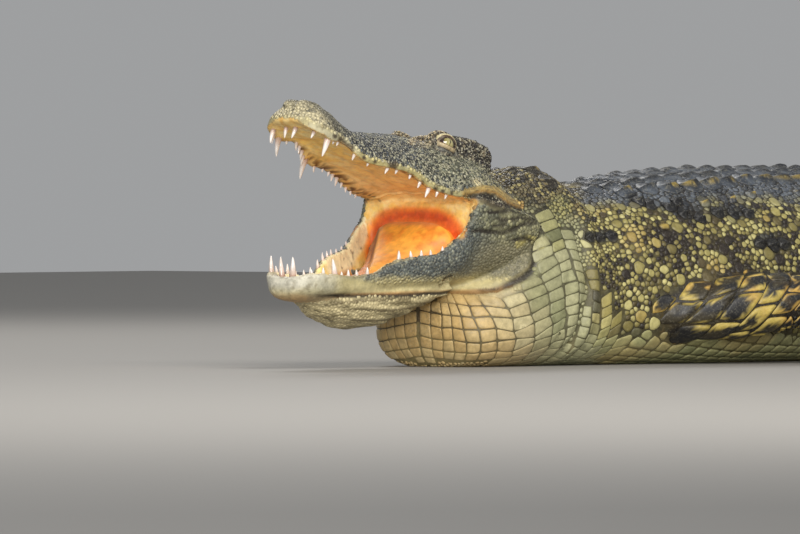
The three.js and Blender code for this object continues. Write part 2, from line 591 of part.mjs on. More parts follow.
for (const [sg, n] of SIDES) {
  // feet point forward and outward; the right legs stand a little apart from the left
  const foreTurn = sg < 0 ? 180 * DEG + 42 * DEG : 180 * DEG - 34 * DEG;
  const hindTurn = (sg < 0 ? 180 * DEG + 30 * DEG : 180 * DEG - 38 * DEG) - 5 * DEG;
  const foreRows = FORE.map((r) => (sg < 0 ? r : [r[0] + 0.10 * (r[1] - 104), r[1] * 0.985, ...r.slice(2)]));
  const hindRows = HIND.map((r) => (sg < 0 ? r : [r[0] + 0.06 * (r[1] - 70), r[1], ...r.slice(2)]));
  const f = leg(foreRows, sg, FOREFOOT, foreTurn);
  put(`foreleg_${n}_upper`, f[0], 0x4f4b30);
  put(`foreleg_${n}_lower`, f[1], 0x4f4b30);
  put(`forefoot_${n}`, f[2], 0x4f4b30);
  f[3].forEach((c, i) => put(`claw_fore_${n}_${i + 1}`, c, 0x1f1c17, 0.4));
  const h = leg(hindRows, sg, HINDFOOT, hindTurn);
  put(`hindleg_${n}_upper`, h[0], 0x4f4b30);
  put(`hindleg_${n}_lower`, h[1], 0x4f4b30);
  put(`hindfoot_${n}`, h[2], 0x4f4b30);
  h[3].forEach((c, i) => put(`claw_hind_${n}_${i + 1}`, c, 0x1f1c17, 0.4));
}

export default group;
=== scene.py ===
# A life-size Nile crocodile resting with its jaws agape: one skin over the
# whole body, plates of scale standing on it, and teeth, eyes and claws.
# Shapes are worked out in millimetres and handed to Blender in metres.
import math
import time

import bpy
import numpy as np
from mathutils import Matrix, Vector
from mathutils.bvhtree import BVHTree
from mathutils.kdtree import KDTree


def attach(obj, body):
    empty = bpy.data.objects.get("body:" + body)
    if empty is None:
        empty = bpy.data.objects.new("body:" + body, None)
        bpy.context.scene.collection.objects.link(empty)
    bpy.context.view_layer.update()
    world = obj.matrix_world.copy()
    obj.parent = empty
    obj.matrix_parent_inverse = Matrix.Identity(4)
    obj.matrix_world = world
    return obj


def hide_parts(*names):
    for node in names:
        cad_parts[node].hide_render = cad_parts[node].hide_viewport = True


T0 = time.time()
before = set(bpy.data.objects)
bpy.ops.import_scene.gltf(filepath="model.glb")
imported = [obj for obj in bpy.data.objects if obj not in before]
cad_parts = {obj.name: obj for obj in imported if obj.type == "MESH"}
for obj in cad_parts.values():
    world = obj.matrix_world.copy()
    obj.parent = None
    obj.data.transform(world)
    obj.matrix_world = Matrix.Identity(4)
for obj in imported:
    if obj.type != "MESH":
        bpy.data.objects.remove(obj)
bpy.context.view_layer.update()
RNG = np.random.default_rng(41)


def say(*words):
    print("[%5.1fs]" % (time.time() - T0), *words, flush=True)


# ------------------------------------------------------------------ camera
# The view of the reference: level with the animal, from its left front.
def set_camera():
    az, el, dist, mm_px = math.radians(-50), math.radians(0.6), 18000.0, 1.46
    right = np.array([math.cos(az), math.sin(az), 0.0])
    look = np.array([-math.sin(az) * math.cos(el), math.cos(az) * math.cos(el), -math.sin(el)])
    up = np.cross(right, look)
    tip = np.array([-1000.0, 0.0, 0.0])
    place = tip - right * (286 - 400) * mm_px + up * (370 - 267) * mm_px - look * dist
    cam = bpy.data.objects.new("camera", bpy.data.cameras.new("camera"))
    bpy.context.scene.collection.objects.link(cam)
    cam.data.sensor_width = 36
    cam.data.lens = 36 * dist / (800 * mm_px)
    cam.data.clip_end = 200
    cam.location = Vector(place / 1000)
    cam.rotation_euler = Vector(look).to_track_quat("-Z", "Y").to_euler()
    bpy.context.scene.camera = cam


set_camera()


# ------------------------------------------------------------- mathematics
def curve(rows, col):
    """Monotone cubic through the knots of one column of a station table."""
    x = np.array([r[0] for r in rows], float)
    y = np.array([r[col] for r in rows], float)
    h = np.diff(x)
    d = np.diff(y) / h
    m = np.zeros(len(x))
    for i in range(1, len(x) - 1):
        if d[i - 1] * d[i] > 0:
            w1, w2 = 2 * h[i] + h[i - 1], h[i] + 2 * h[i - 1]
            m[i] = (w1 + w2) / (w1 / d[i - 1] + w2 / d[i])
    m[0], m[-1] = d[0], d[-1]

    def at(t):
        t = np.clip(np.asarray(t, float), x[0], x[-1])
        i = np.clip(np.searchsorted(x, t, side="right") - 1, 0, len(h) - 1)
        s = (t - x[i]) / h[i]
        return (y[i] * (1 + 2 * s) * (1 - s) ** 2 + m[i] * h[i] * s * (1 - s) ** 2
                + y[i + 1] * s * s * (3 - 2 * s) + m[i + 1] * h[i] * s * s * (s - 1))
    return at


def unit(v):
    v = np.asarray(v, float)
    return v / np.maximum(np.linalg.norm(v, axis=-1, keepdims=True), 1e-12)


def step(a, b, x):
    s = np.clip((np.asarray(x, float) - a) / (b - a), 0, 1)
    return s * s * (3 - 2 * s)


def spow(c, e):
    return np.sign(c) * np.abs(c) ** e


def _cell(ix, iy, iz, seed):
    h = ((ix * 73856093) ^ (iy * 19349663) ^ (iz * 83492791) ^ (seed * 265443571)) & 0xFFFFFFFF
    h = ((h ^ (h >> 13)) * 1274126177) & 0xFFFFFFFF
    return ((h ^ (h >> 16)) & 0xFFFF) / 65535.0


def noise(P, size, seed=0):
    """Smooth value noise, 0 to 1, with features about `size` millimetres wide."""
    q = np.asarray(P, float) / size + 1000.0
    i = np.floor(q).astype(np.int64)
    f = q - i
    f = f * f * (3 - 2 * f)
    out = 0.0
    for dx in (0, 1):
        for dy in (0, 1):
            for dz in (0, 1):
                w = ((f[:, 0] if dx else 1 - f[:, 0]) * (f[:, 1] if dy else 1 - f[:, 1])
                     * (f[:, 2] if dz else 1 - f[:, 2]))
                out = out + w * _cell(i[:, 0] + dx, i[:, 1] + dy, i[:, 2] + dz, seed)
    return out


def fbm(P, size, seed=0, octaves=3):
    out, amp, tot = 0.0, 1.0, 0.0
    for k in range(octaves):
        out = out + amp * noise(P, size / 2 ** k, seed + 17 * k)
        tot += amp
        amp *= 0.5
    return out / tot


def lin(*rgb):
    c = np.array(rgb, float) / 255
    return np.where(c <= 0.04045, c / 12.92, ((c + 0.055) / 1.055) ** 2.4)


def mix(a, b, w):
    w = np.asarray(w, float)
    if w.ndim == 1:
        w = w[:, None]
    return a * (1 - w) + b * w


# ---------------------------------------------------- stations of the body
SNOUT = 1000.0
SKULL = 425.0
PITCH = math.radians(21)
LIP_TIP_Z = 352.0
HEADING = [[0, 0], [1120, 0], [1500, 8], [2250, 23], [3060, 13]]
_heading = curve(HEADING, 1)
_ST = np.arange(0, 3091, 10.0)
_SH = np.radians(_heading(_ST))
_SX = np.concatenate([[-SNOUT], -SNOUT + np.cumsum(10 * np.cos(_SH[:-1]))])
_SY = np.concatenate([[0.0], -np.cumsum(10 * np.sin(_SH[:-1]))])


def on_spine(t, a, z):
    t = np.asarray(t, float)
    h = np.interp(t, _ST, _SH)
    x = np.where(t < 0, -SNOUT + t, np.interp(t, _ST, _SX))
    y = np.interp(t, _ST, _SY)
    return np.stack(np.broadcast_arrays(x + a * np.sin(h), y + a * np.cos(h), z), -1)


def spine_place(P):
    """Distance behind the snout and lateral offset of points."""
    t = np.interp(P[:, 0], _SX, _ST)
    for _ in range(4):
        h = np.interp(t, _ST, _SH)
        dx, dy = P[:, 0] - np.interp(t, _ST, _SX), P[:, 1] - np.interp(t, _ST, _SY)
        t = np.clip(t + dx * np.cos(h) - dy * np.sin(h), 0, 3080)
    h = np.interp(t, _ST, _SH)
    dx, dy = P[:, 0] - np.interp(t, _ST, _SX), P[:, 1] - np.interp(t, _ST, _SY)
    return t, dx * np.sin(h) + dy * np.cos(h)


# [X, half width, top, bottom, height of greatest width, top power, bottom power]
BODY = [
    [298, 52, 96, 44, 66, 2.0, 2.0], [309, 84, 108, 16, 58, 2.1, 2.2],
    [330, 107, 124, -3, 56, 2.2, 2.5], [366, 122, 152, -5, 62, 2.2, 2.7],
    [405, 132, 212, -5, 76, 2.2, 2.8], [450, 139, 276, -5, 92, 2.0, 2.8],
    [484, 142, 293, -5, 96, 1.85, 2.8], [532, 147, 298, -5, 96, 1.7, 2.8],
    [566, 151, 295, -5, 95, 1.7, 2.8], [600, 156, 268, -5, 94, 1.85, 2.8],
    [650, 169, 269, -5, 96, 2.1, 2.8], [740, 190, 282, -5, 100, 2.1, 2.9],
    [850, 210, 290, -6, 102, 2.1, 3.0], [960, 222, 294, -6, 102, 2.1, 3.0],
    [1090, 226, 295, -6, 102, 2.1, 3.0], [1220, 218, 291, -6, 100, 2.1, 3.0],
    [1340, 192, 272, -5, 98, 2.1, 2.9], [1440, 154, 248, -5, 98, 2.1, 2.7],
    [1530, 122, 224, -5, 94, 2.1, 2.5],
    [1700, 97, 190, -5, 82, 2.1, 2.4], [1900, 78, 163, -5, 70, 2.1, 2.3],
    [2100, 63, 142, -5, 60, 2.1, 2.3], [2300, 50, 124, -5, 52, 2.1, 2.2],
    [2500, 39, 106, -5, 44, 2.1, 2.2], [2700, 28, 86, -4, 36, 2.1, 2.2],
    [2880, 18, 62, -4, 26, 2.1, 2.2], [3000, 11, 40, -4, 18, 2.1, 2.2],
    [3056, 5, 22, -3, 10, 2.0, 2.0],
]
B = [None] + [curve(BODY, c) for c in range(1, 7)]
pair_crest = curve([[1440, 0], [1530, 7], [1800, 14], [2060, 22], [2150, 20], [2200, 0]], 1)


def body_point(t, th):
    """Point of the body's section at t; th runs from 0 at the top, to the
    animal's right, round by pi at the belly."""
    t, th = np.broadcast_arrays(np.asarray(t, float), np.asarray(th, float))
    w, top, bot, mid, pu, pl = [B[c](t) for c in range(1, 7)]
    c, s = np.sin(th), np.cos(th)
    p = np.where(s > 0, pu, pl)
    z = np.where(s > 0, mid + (top - mid) * np.abs(s) ** (2 / p), mid - (mid - bot) * np.abs(s) ** (2 / p))
    return on_spine(t, w * np.sign(c) * np.abs(c) ** (2 / p), z)


def body_angle(t, a, z):
    """The same angle for points beside the section, 0 at the top to pi, unsigned."""
    w, top, bot, mid = B[1](t), B[2](t), B[3](t), B[4](t)
    up = np.where(z > mid, (z - mid) / (top - mid), (z - mid) / (mid - bot))
    return np.arctan2(np.abs(a) / w, up)


# Fractions of the skull length, in the skull's own pitched frame
HEAD = [
    [-0.012, 0.062, 0.050, 0.022, 0.024, 2.4, 2.3], [0.002, 0.094, 0.082, 0.008, 0.016, 2.4, 2.3],
    [0.030, 0.112, 0.106, 0.004, 0.014, 2.3, 2.2], [0.065, 0.124, 0.124, 0.002, 0.014, 2.2, 2.0],
    [0.115, 0.129, 0.125, 0.000, 0.013, 2.2, 1.9], [0.170, 0.114, 0.116, 0.016, 0.023, 2.2, 1.9],
    [0.215, 0.124, 0.105, 0.008, 0.022, 2.2, 1.9], [0.278, 0.148, 0.101, -0.014, 0.018, 2.2, 1.9],
    [0.330, 0.161, 0.117, -0.010, 0.018, 2.1, 1.8], [0.400, 0.178, 0.140, 0.006, 0.022, 2.0, 1.7],
    [0.480, 0.190, 0.168, 0.015, 0.028, 1.9, 1.6], [0.580, 0.206, 0.196, 0.002, 0.026, 1.9, 1.6],
    [0.660, 0.226, 0.212, 0.006, 0.028, 2.0, 1.6], [0.740, 0.246, 0.222, 0.022, 0.036, 2.1, 1.6],
    [0.820, 0.262, 0.228, 0.030, 0.020, 2.1, 1.7], [0.940, 0.275, 0.214, 0.015, -0.005, 2.0, 1.8],
    [1.060, 0.262, 0.176, 0.010, -0.010, 2.0, 2.0],
]
H = [None] + [curve(HEAD, c) for c in range(1, 7)]
CP, SP = math.cos(PITCH), math.sin(PITCH)


def skull(s, a, v):
    return np.stack(np.broadcast_arrays(s * CP + v * SP - SNOUT, a, LIP_TIP_Z - s * SP + v * CP), -1)


def skull_dir(s, a, v):
    return unit(np.array([s * CP + v * SP, a, -s * SP + v * CP]))


def in_skull(P):
    X, Z = P[:, 0] + SNOUT, P[:, 2] - LIP_TIP_Z
    return X * CP - Z * SP, P[:, 1], X * SP + Z * CP


TABLE = [[0.680, 0.040, 0.236, 0.120], [0.750, 0.098, 0.264, 0.100], [0.824, 0.130, 0.274, 0.100],
         [0.876, 0.142, 0.276, 0.100], [0.910, 0.146, 0.260, 0.100], [0.936, 0.138, 0.226, 0.100]]
EYE = np.array([0.691, 0.102, 0.202]) * SKULL
EYE_R = 17.0

JAW = [
    [-12, 20, 108, 130, 128], [-5, 32, 103, 138, 135], [8, 43, 100, 141, 136], [30, 51, 98, 140, 134],
    [60, 52, 98, 138, 130], [95, 54, 98, 136, 124], [130, 62, 99, 140, 120], [158, 69, 100, 155, 118],
    [190, 78, 103, 162, 119], [240, 93, 108, 168, 122], [268, 100, 110, 186, 124], [292, 105, 112, 206, 132],
    [305, 108, 113, 232, 170], [312, 110, 114, 258, 244], [350, 115, 116, 246, 236],
    [395, 123, 124, 232, 222], [424, 126, 142, 222, 212], [447, 120, 170, 210, 200],
]
J = [None] + [curve(JAW, c) for c in range(1, 5)]
# The right ramus bows out and up a little more: [X, outward, upward]
BOW = [[120, 0, 0], [160, 4, 1], [200, 8, 3], [237, 8, 6], [267, 8, 10], [287, 8, 10], [306, 6, 1], [330, 0, 0]]
bow_out, bow_up = curve(BOW, 1), curve(BOW, 2)


def bowed(a, z, X, w, bot, rim):
    k, v = np.maximum(0, a) / w, np.clip((z - bot) / (rim - bot), 0, 1)
    return a + k * bow_out(X), z + k * v * bow_up(X)


POUCH = [[36, 22, 96, 106], [64, 36, 77, 108], [100, 49, 62, 110], [135, 58, 57, 112],
         [168, 64, 59, 112], [205, 69, 67, 114], [245, 73, 82, 116], [296, 77, 104, 118]]
TONGUE = [[70, 9, 134, 124], [100, 16, 138, 119], [140, 22, 144, 115], [180, 30, 152, 114],
          [212, 41, 164, 118], [240, 54, 182, 120], [264, 68, 202, 124], [284, 78, 214, 128], [298, 76, 210, 136],
          [306, 60, 190, 150]]

# Teeth: upper [s in skull lengths, length], lower [X, length]
UPPER = {-1: [[0.006, 17], [0.046, 12], [0.098, 30], [0.135, 7], [0.167, 9], [0.243, 11], [0.300, 7],
              [0.382, 13], [0.422, 9], [0.485, 9], [0.535, 12], [0.578, 18], [0.616, 11], [0.653, 9]],
         1: [[0.006, 17], [0.030, 24], [0.062, 17], [0.096, 32], [0.135, 8], [0.174, 15], [0.200, 15],
             [0.228, 17], [0.250, 18], [0.272, 33], [0.348, 12], [0.410, 8], [0.452, 10], [0.478, 15],
             [0.508, 17], [0.545, 10], [0.577, 10], [0.615, 9], [0.655, 8]]}
LOWER = {-1: [[-3, 29], [14, 8], [32, 12], [57, 26], [72, 8], [86, 12], [103, 12], [121, 13], [176, 16],
              [197, 12], [214, 11], [230, 10], [250, 9]],
         1: [[-3, 29], [9, 28], [32, 14], [57, 18], [76, 9], [96, 11], [116, 13], [143, 15], [163, 14],
             [181, 12], [196, 11], [215, 9], [233, 9], [250, 8]]}


def tooth_roots():
    """(root, direction, length, gum outward) of every tooth."""
    out = []
    for sg, rows in UPPER.items():
        for f, ln in rows:
            W, lip = float(H[1](f)) * SKULL, float(H[3](f)) * SKULL
            a = 9 if f < 0.02 else 0.74 * W if f < 0.05 else W - 7.5
            s = 10 if f < 0.02 else f * SKULL
            root, tip = skull(s, sg * a, lip + 2), skull(s - 0.08 * ln, sg * (a - 0.06 * ln), lip - ln)
            out.append((root, unit(tip - root), ln, True))
    for sg, rows in LOWER.items():
        for X, ln in rows:
            W, rim = float(J[1](X)), float(J[3](X))
            a = 10 if X < 0 else W - 9 if X < 20 else W - 7
            ya, za = bowed(sg * a, rim - 1, X, W, float(J[2](X)), rim)
            root = np.array([X + (6 if X < 0 else 0) - SNOUT, ya, za])
            out.append((root, unit(np.array([-0.1, sg * 0.08, 1])), ln, False))
    return out


TEETH = tooth_roots()

# --------------------------------------------------------- limbs and feet
FORE = [[662, 104, 74, 48, 38], [712, 150, 76, 50, 43], [768, 192, 82, 50, 47], [828, 228, 90, 47, 47],
        [884, 258, 92, 40, 41], [904, 290, 72, 33, 33], [894, 322, 50, 27, 26], [874, 348, 32, 23, 21]]
HIND = [[1420, 70, 118, 64, 60], [1392, 118, 112, 66, 62], [1352, 176, 108, 60, 56], [1312, 232, 104, 50, 48],
        [1292, 276, 96, 42, 42], [1304, 308, 80, 38, 36], [1334, 334, 58, 32, 28], [1362, 352, 34, 28, 22]]
FOREFOOT = dict(
    palm=[[-20, 22, 17], [0, 25, 17], [26, 33, 15], [50, 36, 12], [64, 33, 9]],
    toes=[[50, -27, -34, 44, 8.5, True], [60, -14, -14, 56, 8.5, True], [63, 1, 2, 60, 8.5, True],
          [58, 15, 20, 52, 7.5, False], [46, 27, 40, 42, 7, False]])
HINDFOOT = dict(
    palm=[[-24, 24, 20], [6, 27, 19], [48, 34, 17], [92, 40, 13], [112, 37, 10]],
    toes=[[98, -27, -22, 64, 10, True], [110, -10, -7, 84, 10, True], [110, 9, 8, 88, 9.5, True],
          [98, 26, 25, 74, 8.5, False]])


def limb_rows(rows, sg, fore):
    out = []
    for t, a, z, w, h in rows:
        if sg > 0:
            t = t + (0.10 * (a - 104) if fore else 0.06 * (a - 70))
            if fore:
                a = a * 0.985
        out.append([*on_spine(t, sg * a, z), w, h])
    return np.array(out)


LEGS = {}
for _sg, _n in ((-1, "left"), (1, "right")):
    LEGS["fore_" + _n] = dict(sg=_sg, rows=limb_rows(FORE, _sg, True), foot=FOREFOOT,
                              turn=math.radians(180 + 42 if _sg < 0 else 180 - 34))
    LEGS["hind_" + _n] = dict(sg=_sg, rows=limb_rows(HIND, _sg, False), foot=HINDFOOT,
                              turn=math.radians((180 + 30 if _sg < 0 else 180 - 38) - 5))


def smooth_rows(rows, n):
    """Catmull-Rom through rows, n steps to each span."""
    R = np.vstack([2 * rows[0] - rows[1], rows, 2 * rows[-1] - rows[-2]])
    out = []
    for i in range(1, len(R) - 2):
        for k in range(n):
            u = k / n
            out.append(0.5 * (2 * R[i] + (R[i + 1] - R[i - 1]) * u
                              + (2 * R[i - 1] - 5 * R[i] + 4 * R[i + 1] - R[i + 2]) * u ** 2
                              + (3 * R[i] - R[i - 1] - 3 * R[i + 1] + R[i + 2]) * u ** 3))
    out.append(rows[-1])
    return np.array(out)


# ------------------------------------------------------------ source solids
# Label of every surface that the skin is drawn over.
(L_HEAD, L_PALATE, L_GUM, L_JAW, L_FLOOR, L_TONGUE, L_POUCH, L_BODY, L_FORE, L_HIND,
 L_FOOT, L_TOE) = range(12)


class Solids:
    def __init__(self):
        self.V, self.F, self.lab, self.dir, self.s, self.n = [], [], [], [], [], 0

    def loft(self, rings, label, direction, s=None):
        """rings (R, S, 3); label a number or an (R, S) array; direction (R, 3)."""
        R, S = rings.shape[:2]
        idx = np.arange(R * S).reshape(R, S) + self.n
        a, b = idx[:-1], np.roll(idx[:-1], -1, 1)
        c, d = idx[1:], np.roll(idx[1:], -1, 1)
        quads = np.stack([a, b, d, c], -1).reshape(-1, 4)
        mid = rings.mean(1)
        V = np.vstack([rings.reshape(-1, 3), mid[0], mid[-1]])
        c0, c1 = self.n + R * S, self.n + R * S + 1
        cap0 = np.stack([np.full(S, c0), np.roll(idx[0], -1), idx[0]], -1)
        cap1 = np.stack([np.full(S, c1), idx[-1], np.roll(idx[-1], -1)], -1)
        tris = np.vstack([quads[:, [0, 1, 2]], quads[:, [0, 2, 3]], cap0, cap1])
        P = V[tris - self.n]
        vol = np.einsum("ij,ij->", P[:, 0], np.cross(P[:, 1], P[:, 2]))
        if vol < 0:
            tris = tris[:, [0, 2, 1]]
        lab = np.broadcast_to(label, (R, S)).reshape(-1)
        D = np.repeat(np.asarray(direction, float).reshape(-1, 3) if np.ndim(direction) > 1
                      else np.tile(direction, (R, 1)), S, 0)
        sv = np.repeat(np.zeros(R) if s is None else s, S)
        self.V.append(V)
        self.F.append(tris)
        self.lab.append(np.concatenate([lab, [lab[0], lab[-1]]]))
        self.dir.append(np.vstack([D, D[:1], D[-1:]]))
        self.s.append(np.concatenate([sv, [sv[0], sv[-1]]]))
        self.n += len(V)

    def done(self):
        return (np.vstack(self.V), np.vstack(self.F), np.concatenate(self.lab), np.vstack(self.dir),
                np.concatenate(self.s))


def mirror_half(half):
    """Closed ring from a half outline (a, v) that starts and ends on the axis."""
    other = half[-2:0:-1].copy()
    other[:, 0] *= -1
    return np.vstack([half, other])


def fill(pts, n):
    """Points along a polyline, n to each span."""
    pts = np.asarray(pts, float)
    out = [pts[0] + (pts[1] - pts[0]) * 0]
    for p, q in zip(pts[:-1], pts[1:]):
        for k in range(1, n + 1):
            out.append(p + (q - p) * k / n)
    return np.array(out)


def source_solids():
    S = Solids()
    # upper head
    fs = np.concatenate([np.linspace(-0.012, 0.03, 12), np.linspace(0.037, 1.06, 150)])
    rings, labs = [], []
    for f in fs:
        w, top, lip, pal, pt, ps = [float(H[c](f)) for c in range(1, 7)]
        W, T, Bv, Q = w * SKULL, top * SKULL, lip * SKULL, pal * SKULL
        d = np.radians(np.linspace(0, 90, 28))
        outer = np.stack([W * np.sin(d) ** (2 / ps), Bv + (T - Bv) * np.maximum(0, np.cos(d)) ** (2 / pt)], -1)
        vault = 3.5 * step(0.1, 0.5, f) * (1 - step(0.75, 0.95, f))
        lower = fill([[W * 0.97, Bv - 1.2], [W * 0.90, Bv - 1.4], [W * 0.84, Bv + 0.5], [W * 0.74, Q - 1.0],
                      [W * 0.55, Q + 0.6 + vault * 0.6], [W * 0.28, Q + 1.5 + vault], [0, Q + 0.6 + vault]], 3)
        half = np.vstack([outer, lower])
        ring = mirror_half(half)
        n_o, n_l = len(outer), len(lower)
        lab = np.concatenate([np.full(n_o, L_HEAD), np.where(np.arange(n_l) < 7, L_GUM, L_PALATE)])
        lab = np.concatenate([lab, lab[-2:0:-1]])
        rings.append(skull(f * SKULL, ring[:, 0], ring[:, 1]))
        labs.append(lab)
    S.loft(np.array(rings), np.array(labs), skull_dir(1, 0, 0), fs)
    # skull table
    fs = np.linspace(0.680, 0.936, 30)
    tc = [None] + [curve(TABLE, c) for c in (1, 2, 3)]
    rings = []
    for f in fs:
        W, T, Bv = float(tc[1](f)) * SKULL, float(tc[2](f)) * SKULL, float(tc[3](f)) * SKULL
        half = fill([[0, T + 1], [W * 0.3, T + 0.8], [W * 0.6, T], [W * 0.93, T], [W, T - 6], [W * 0.98, T - 11],
                     [W * 0.9, Bv], [0, Bv]], 4)
        ring = mirror_half(half)
        rings.append(skull(f * SKULL, ring[:, 0], ring[:, 1]))
    S.loft(np.array(rings), L_HEAD, skull_dir(1, 0, 0), fs)
    # brows and nostrils
    for c, r in (([0.700, 0.088, 0.204], [0.074, 0.042, 0.055]), ([0.066, 0.026, 0.090], [0.068, 0.044, 0.036])):
        for sg in (-1, 1):
            th = np.linspace(0.04, math.pi - 0.04, 26)[:, None]
            ph = np.linspace(0, 2 * math.pi, 40, endpoint=False)[None]
            s = (c[0] + r[0] * -np.cos(th) + 0 * ph) * SKULL
            a = (sg * c[1] + r[1] * np.sin(th) * np.cos(ph)) * SKULL
            v = (c[2] + r[2] * np.sin(th) * np.sin(ph)) * SKULL
            S.loft(skull(s, a, v), L_HEAD, skull_dir(1, 0, 0), np.full(26, c[0]))
    # lower jaw
    Xs = np.concatenate([np.linspace(-12, 20, 12), np.linspace(24, 447, 110)])
    rings, labs = [], []
    for X in Xs:
        w, bot, rim, flr = [float(J[c](X)) for c in range(1, 5)]
        lip = min(15, w * 0.36)
        d = np.radians(np.linspace(90, 0, 26))
        outer = np.stack([w * np.maximum(0, np.cos(d)) ** 0.8, (rim - 6) - (rim - 6 - bot) * np.sin(d) ** 0.8], -1)
        outer[0, 0] = 0
        top = fill([[w - 1, rim - 3], [w - 4, rim - 0.4], [w - lip * 0.75, rim], [w - lip * 1.1, (flr + rim) / 2],
                    [w - lip * 1.5, flr], [max(0.5 * (w - lip * 1.5), 0), flr - 0.6], [0, flr - 1]], 3)
        ring = mirror_half(np.vstack([outer, top]))
        lab = np.concatenate([np.full(len(outer) + 5, L_JAW), np.full(len(top) - 5, L_FLOOR)])
        lab = np.concatenate([lab, lab[-2:0:-1]])
        if X < 12:
            lab = np.full(len(lab), L_JAW)
        ra, rz = bowed(ring[:, 0], ring[:, 1], X, w, bot, rim)
        rings.append(np.stack([np.full(len(ring), X - SNOUT), ra, rz], -1))
        labs.append(lab)
    S.loft(np.array(rings), np.array(labs), [1, 0, 0], Xs)
    # pouch under the chin
    Xs = np.linspace(36, 296, 50)
    pc = [None] + [curve(POUCH, c) for c in (1, 2, 3)]
    th = np.linspace(0, 2 * math.pi, 60, endpoint=False)
    rings = []
    for X in Xs:
        w, b, t = [float(pc[c](X)) for c in (1, 2, 3)]
        s = np.sin(th)
        rings.append(np.stack([np.full(60, X - SNOUT), w * np.cos(th),
                               np.where(s > 0, t, t - (t - b) * np.abs(s) ** 0.8)], -1))
    S.loft(np.array(rings), L_POUCH, [1, 0, 0], Xs)
    # tongue
    Xs = np.linspace(70, 306, 70)
    tc2 = [None] + [curve(TONGUE, c) for c in (1, 2, 3)]
    rings = []
    for X in Xs:
        w, t, b = [float(tc2[c](X)) for c in (1, 2, 3)]
        c, s = np.cos(th), np.sin(th)
        rings.append(np.stack([np.full(60, X - SNOUT), w * spow(c, 0.7), (t + b) / 2 + (t - b) / 2 * spow(s, 0.7)], -1))
    S.loft(np.array(rings), L_TONGUE, [1, 0, 0], Xs)
    # neck, trunk and tail
    ts = np.concatenate([np.linspace(298, 330, 12), np.arange(336, 640, 6), np.arange(640, 3056, 9), [3056]])
    th = np.linspace(0, 2 * math.pi, 120, endpoint=False)
    hd = np.interp(ts, _ST, _SH)
    S.loft(body_point(ts[:, None], th[None]), L_BODY, np.stack([np.cos(hd), -np.sin(hd), 0 * hd], -1), ts)
    # limbs
    for name, leg in LEGS.items():
        R = smooth_rows(leg["rows"], 7)
        P = R[:, :3]
        tan = unit(np.gradient(P, axis=0))
        side = unit(np.cross([0, 0, 1.0], tan))
        top = np.cross(tan, side)
        ph = np.linspace(0, 2 * math.pi, 44, endpoint=False)
        rings = (P[:, None] + side[:, None] * (R[:, 3, None] * np.cos(ph))[..., None]
                 + top[:, None] * (R[:, 4, None] * np.sin(ph))[..., None])
        leg["spine"], leg["side"], leg["top"], leg["tan"] = R, side, top, tan
        S.loft(rings, L_FORE if "fore" in name else L_HIND, tan, np.linspace(0, 1, len(R)))
        # foot
        sg, ang, spec = leg["sg"], leg["turn"], leg["foot"]
        o = leg["rows"][-1][:2]
        ca, sa = math.cos(ang), math.sin(ang)

        def place(f, c, z):
            c = -sg * np.asarray(c)
            return np.stack(np.broadcast_arrays(o[0] + f * ca - c * sa, o[1] + f * sa + c * ca, z), -1)
        leg["place"] = place
        palm = smooth_rows(np.array(spec["palm"], float), 5)
        ph = np.linspace(0, 2 * math.pi, 36, endpoint=False)
        rings = np.array([place(f, w * spow(np.cos(ph), 0.8), h * 0.8 + h * 1.1 * np.sin(ph)) for f, w, h in palm])
        fw = np.array([ca, sa, 0.0])
        S.loft(rings, L_FOOT, fw, np.linspace(0, 1, len(palm)))
        leg["toes"] = []
        for bf, bc, deg, ln, hw, clawed in spec["toes"]:
            cd, sd = math.cos(math.radians(deg)), math.sin(math.radians(deg))
            ds = np.linspace(-20, ln, 26)
            u = (ds + 20) / (ln + 20)
            w = hw * (1.1 + ((0.66 if clawed else 0.5) - 1.1) * u) * (1 + 0.10 * np.cos(u * 4 * math.pi + 0.6))
            h = (9.5 + ((6 if clawed else 5) - 9.5) * u) * (1 + 0.12 * np.cos(u * 4 * math.pi + 0.6))
            zc = 7 + (5.4 - 7) * u
            end = np.sqrt(np.clip(1 - np.clip((u - 0.93) / 0.075, 0, 1) ** 2, 0.05, 1))
            ph = np.linspace(0, 2 * math.pi, 20, endpoint=False)
            f = bf + ds[:, None] * cd - (w * end)[:, None] * np.cos(ph) * sd
            c = bc + ds[:, None] * sd + (w * end)[:, None] * np.cos(ph) * cd
            S.loft(place(f, c, zc[:, None] + (h * end)[:, None] * np.sin(ph)), L_TOE,
                   place(1e6 * cd, 1e6 * sd, 0) / 1e6 - place(0, 0, 0) / 1e6, u)
            tip, aim = place(bf + ln * cd, bc + ln * sd, 6.0), unit(place(bf + (ln + 9) * cd, bc + (ln + 9) * sd, 0)
                                                                  - place(bf + ln * cd, bc + ln * sd, 0))
            leg["toes"].append((tip, aim, hw, clawed, ln))
    return S.done()


# ----------------------------------------------------- the one skin's mesh
# Cell size in millimetres along the animal: fine at the head and the feet.
CELL = [[-60, 3.1], [285, 3.1], [300, 2.6], [350, 2.6], [372, 3.1], [440, 3.5], [520, 5.6], [640, 8.0],
        [705, 6.2], [860, 6.2], [960, 9.5], [1180, 9.5], [1240, 6.5], [1480, 6.5], [1560, 8.5], [2100, 8.0],
        [2600, 6.0], [2900, 4.0], [3080, 3.0]]
_cx = np.arange(-80, 3100, 2.0)
_ch = np.interp(_cx, [c[0] for c in CELL], [c[1] for c in CELL])
_cw = np.concatenate([[0], np.cumsum(2.0 / ((_ch[1:] + _ch[:-1]) / 2))])


def to_cells(P):
    X = P[:, 0] + SNOUT
    h = np.interp(X, _cx, _ch)
    return np.stack([np.interp(X, _cx, _cw), P[:, 1] / h, P[:, 2] / h], -1)


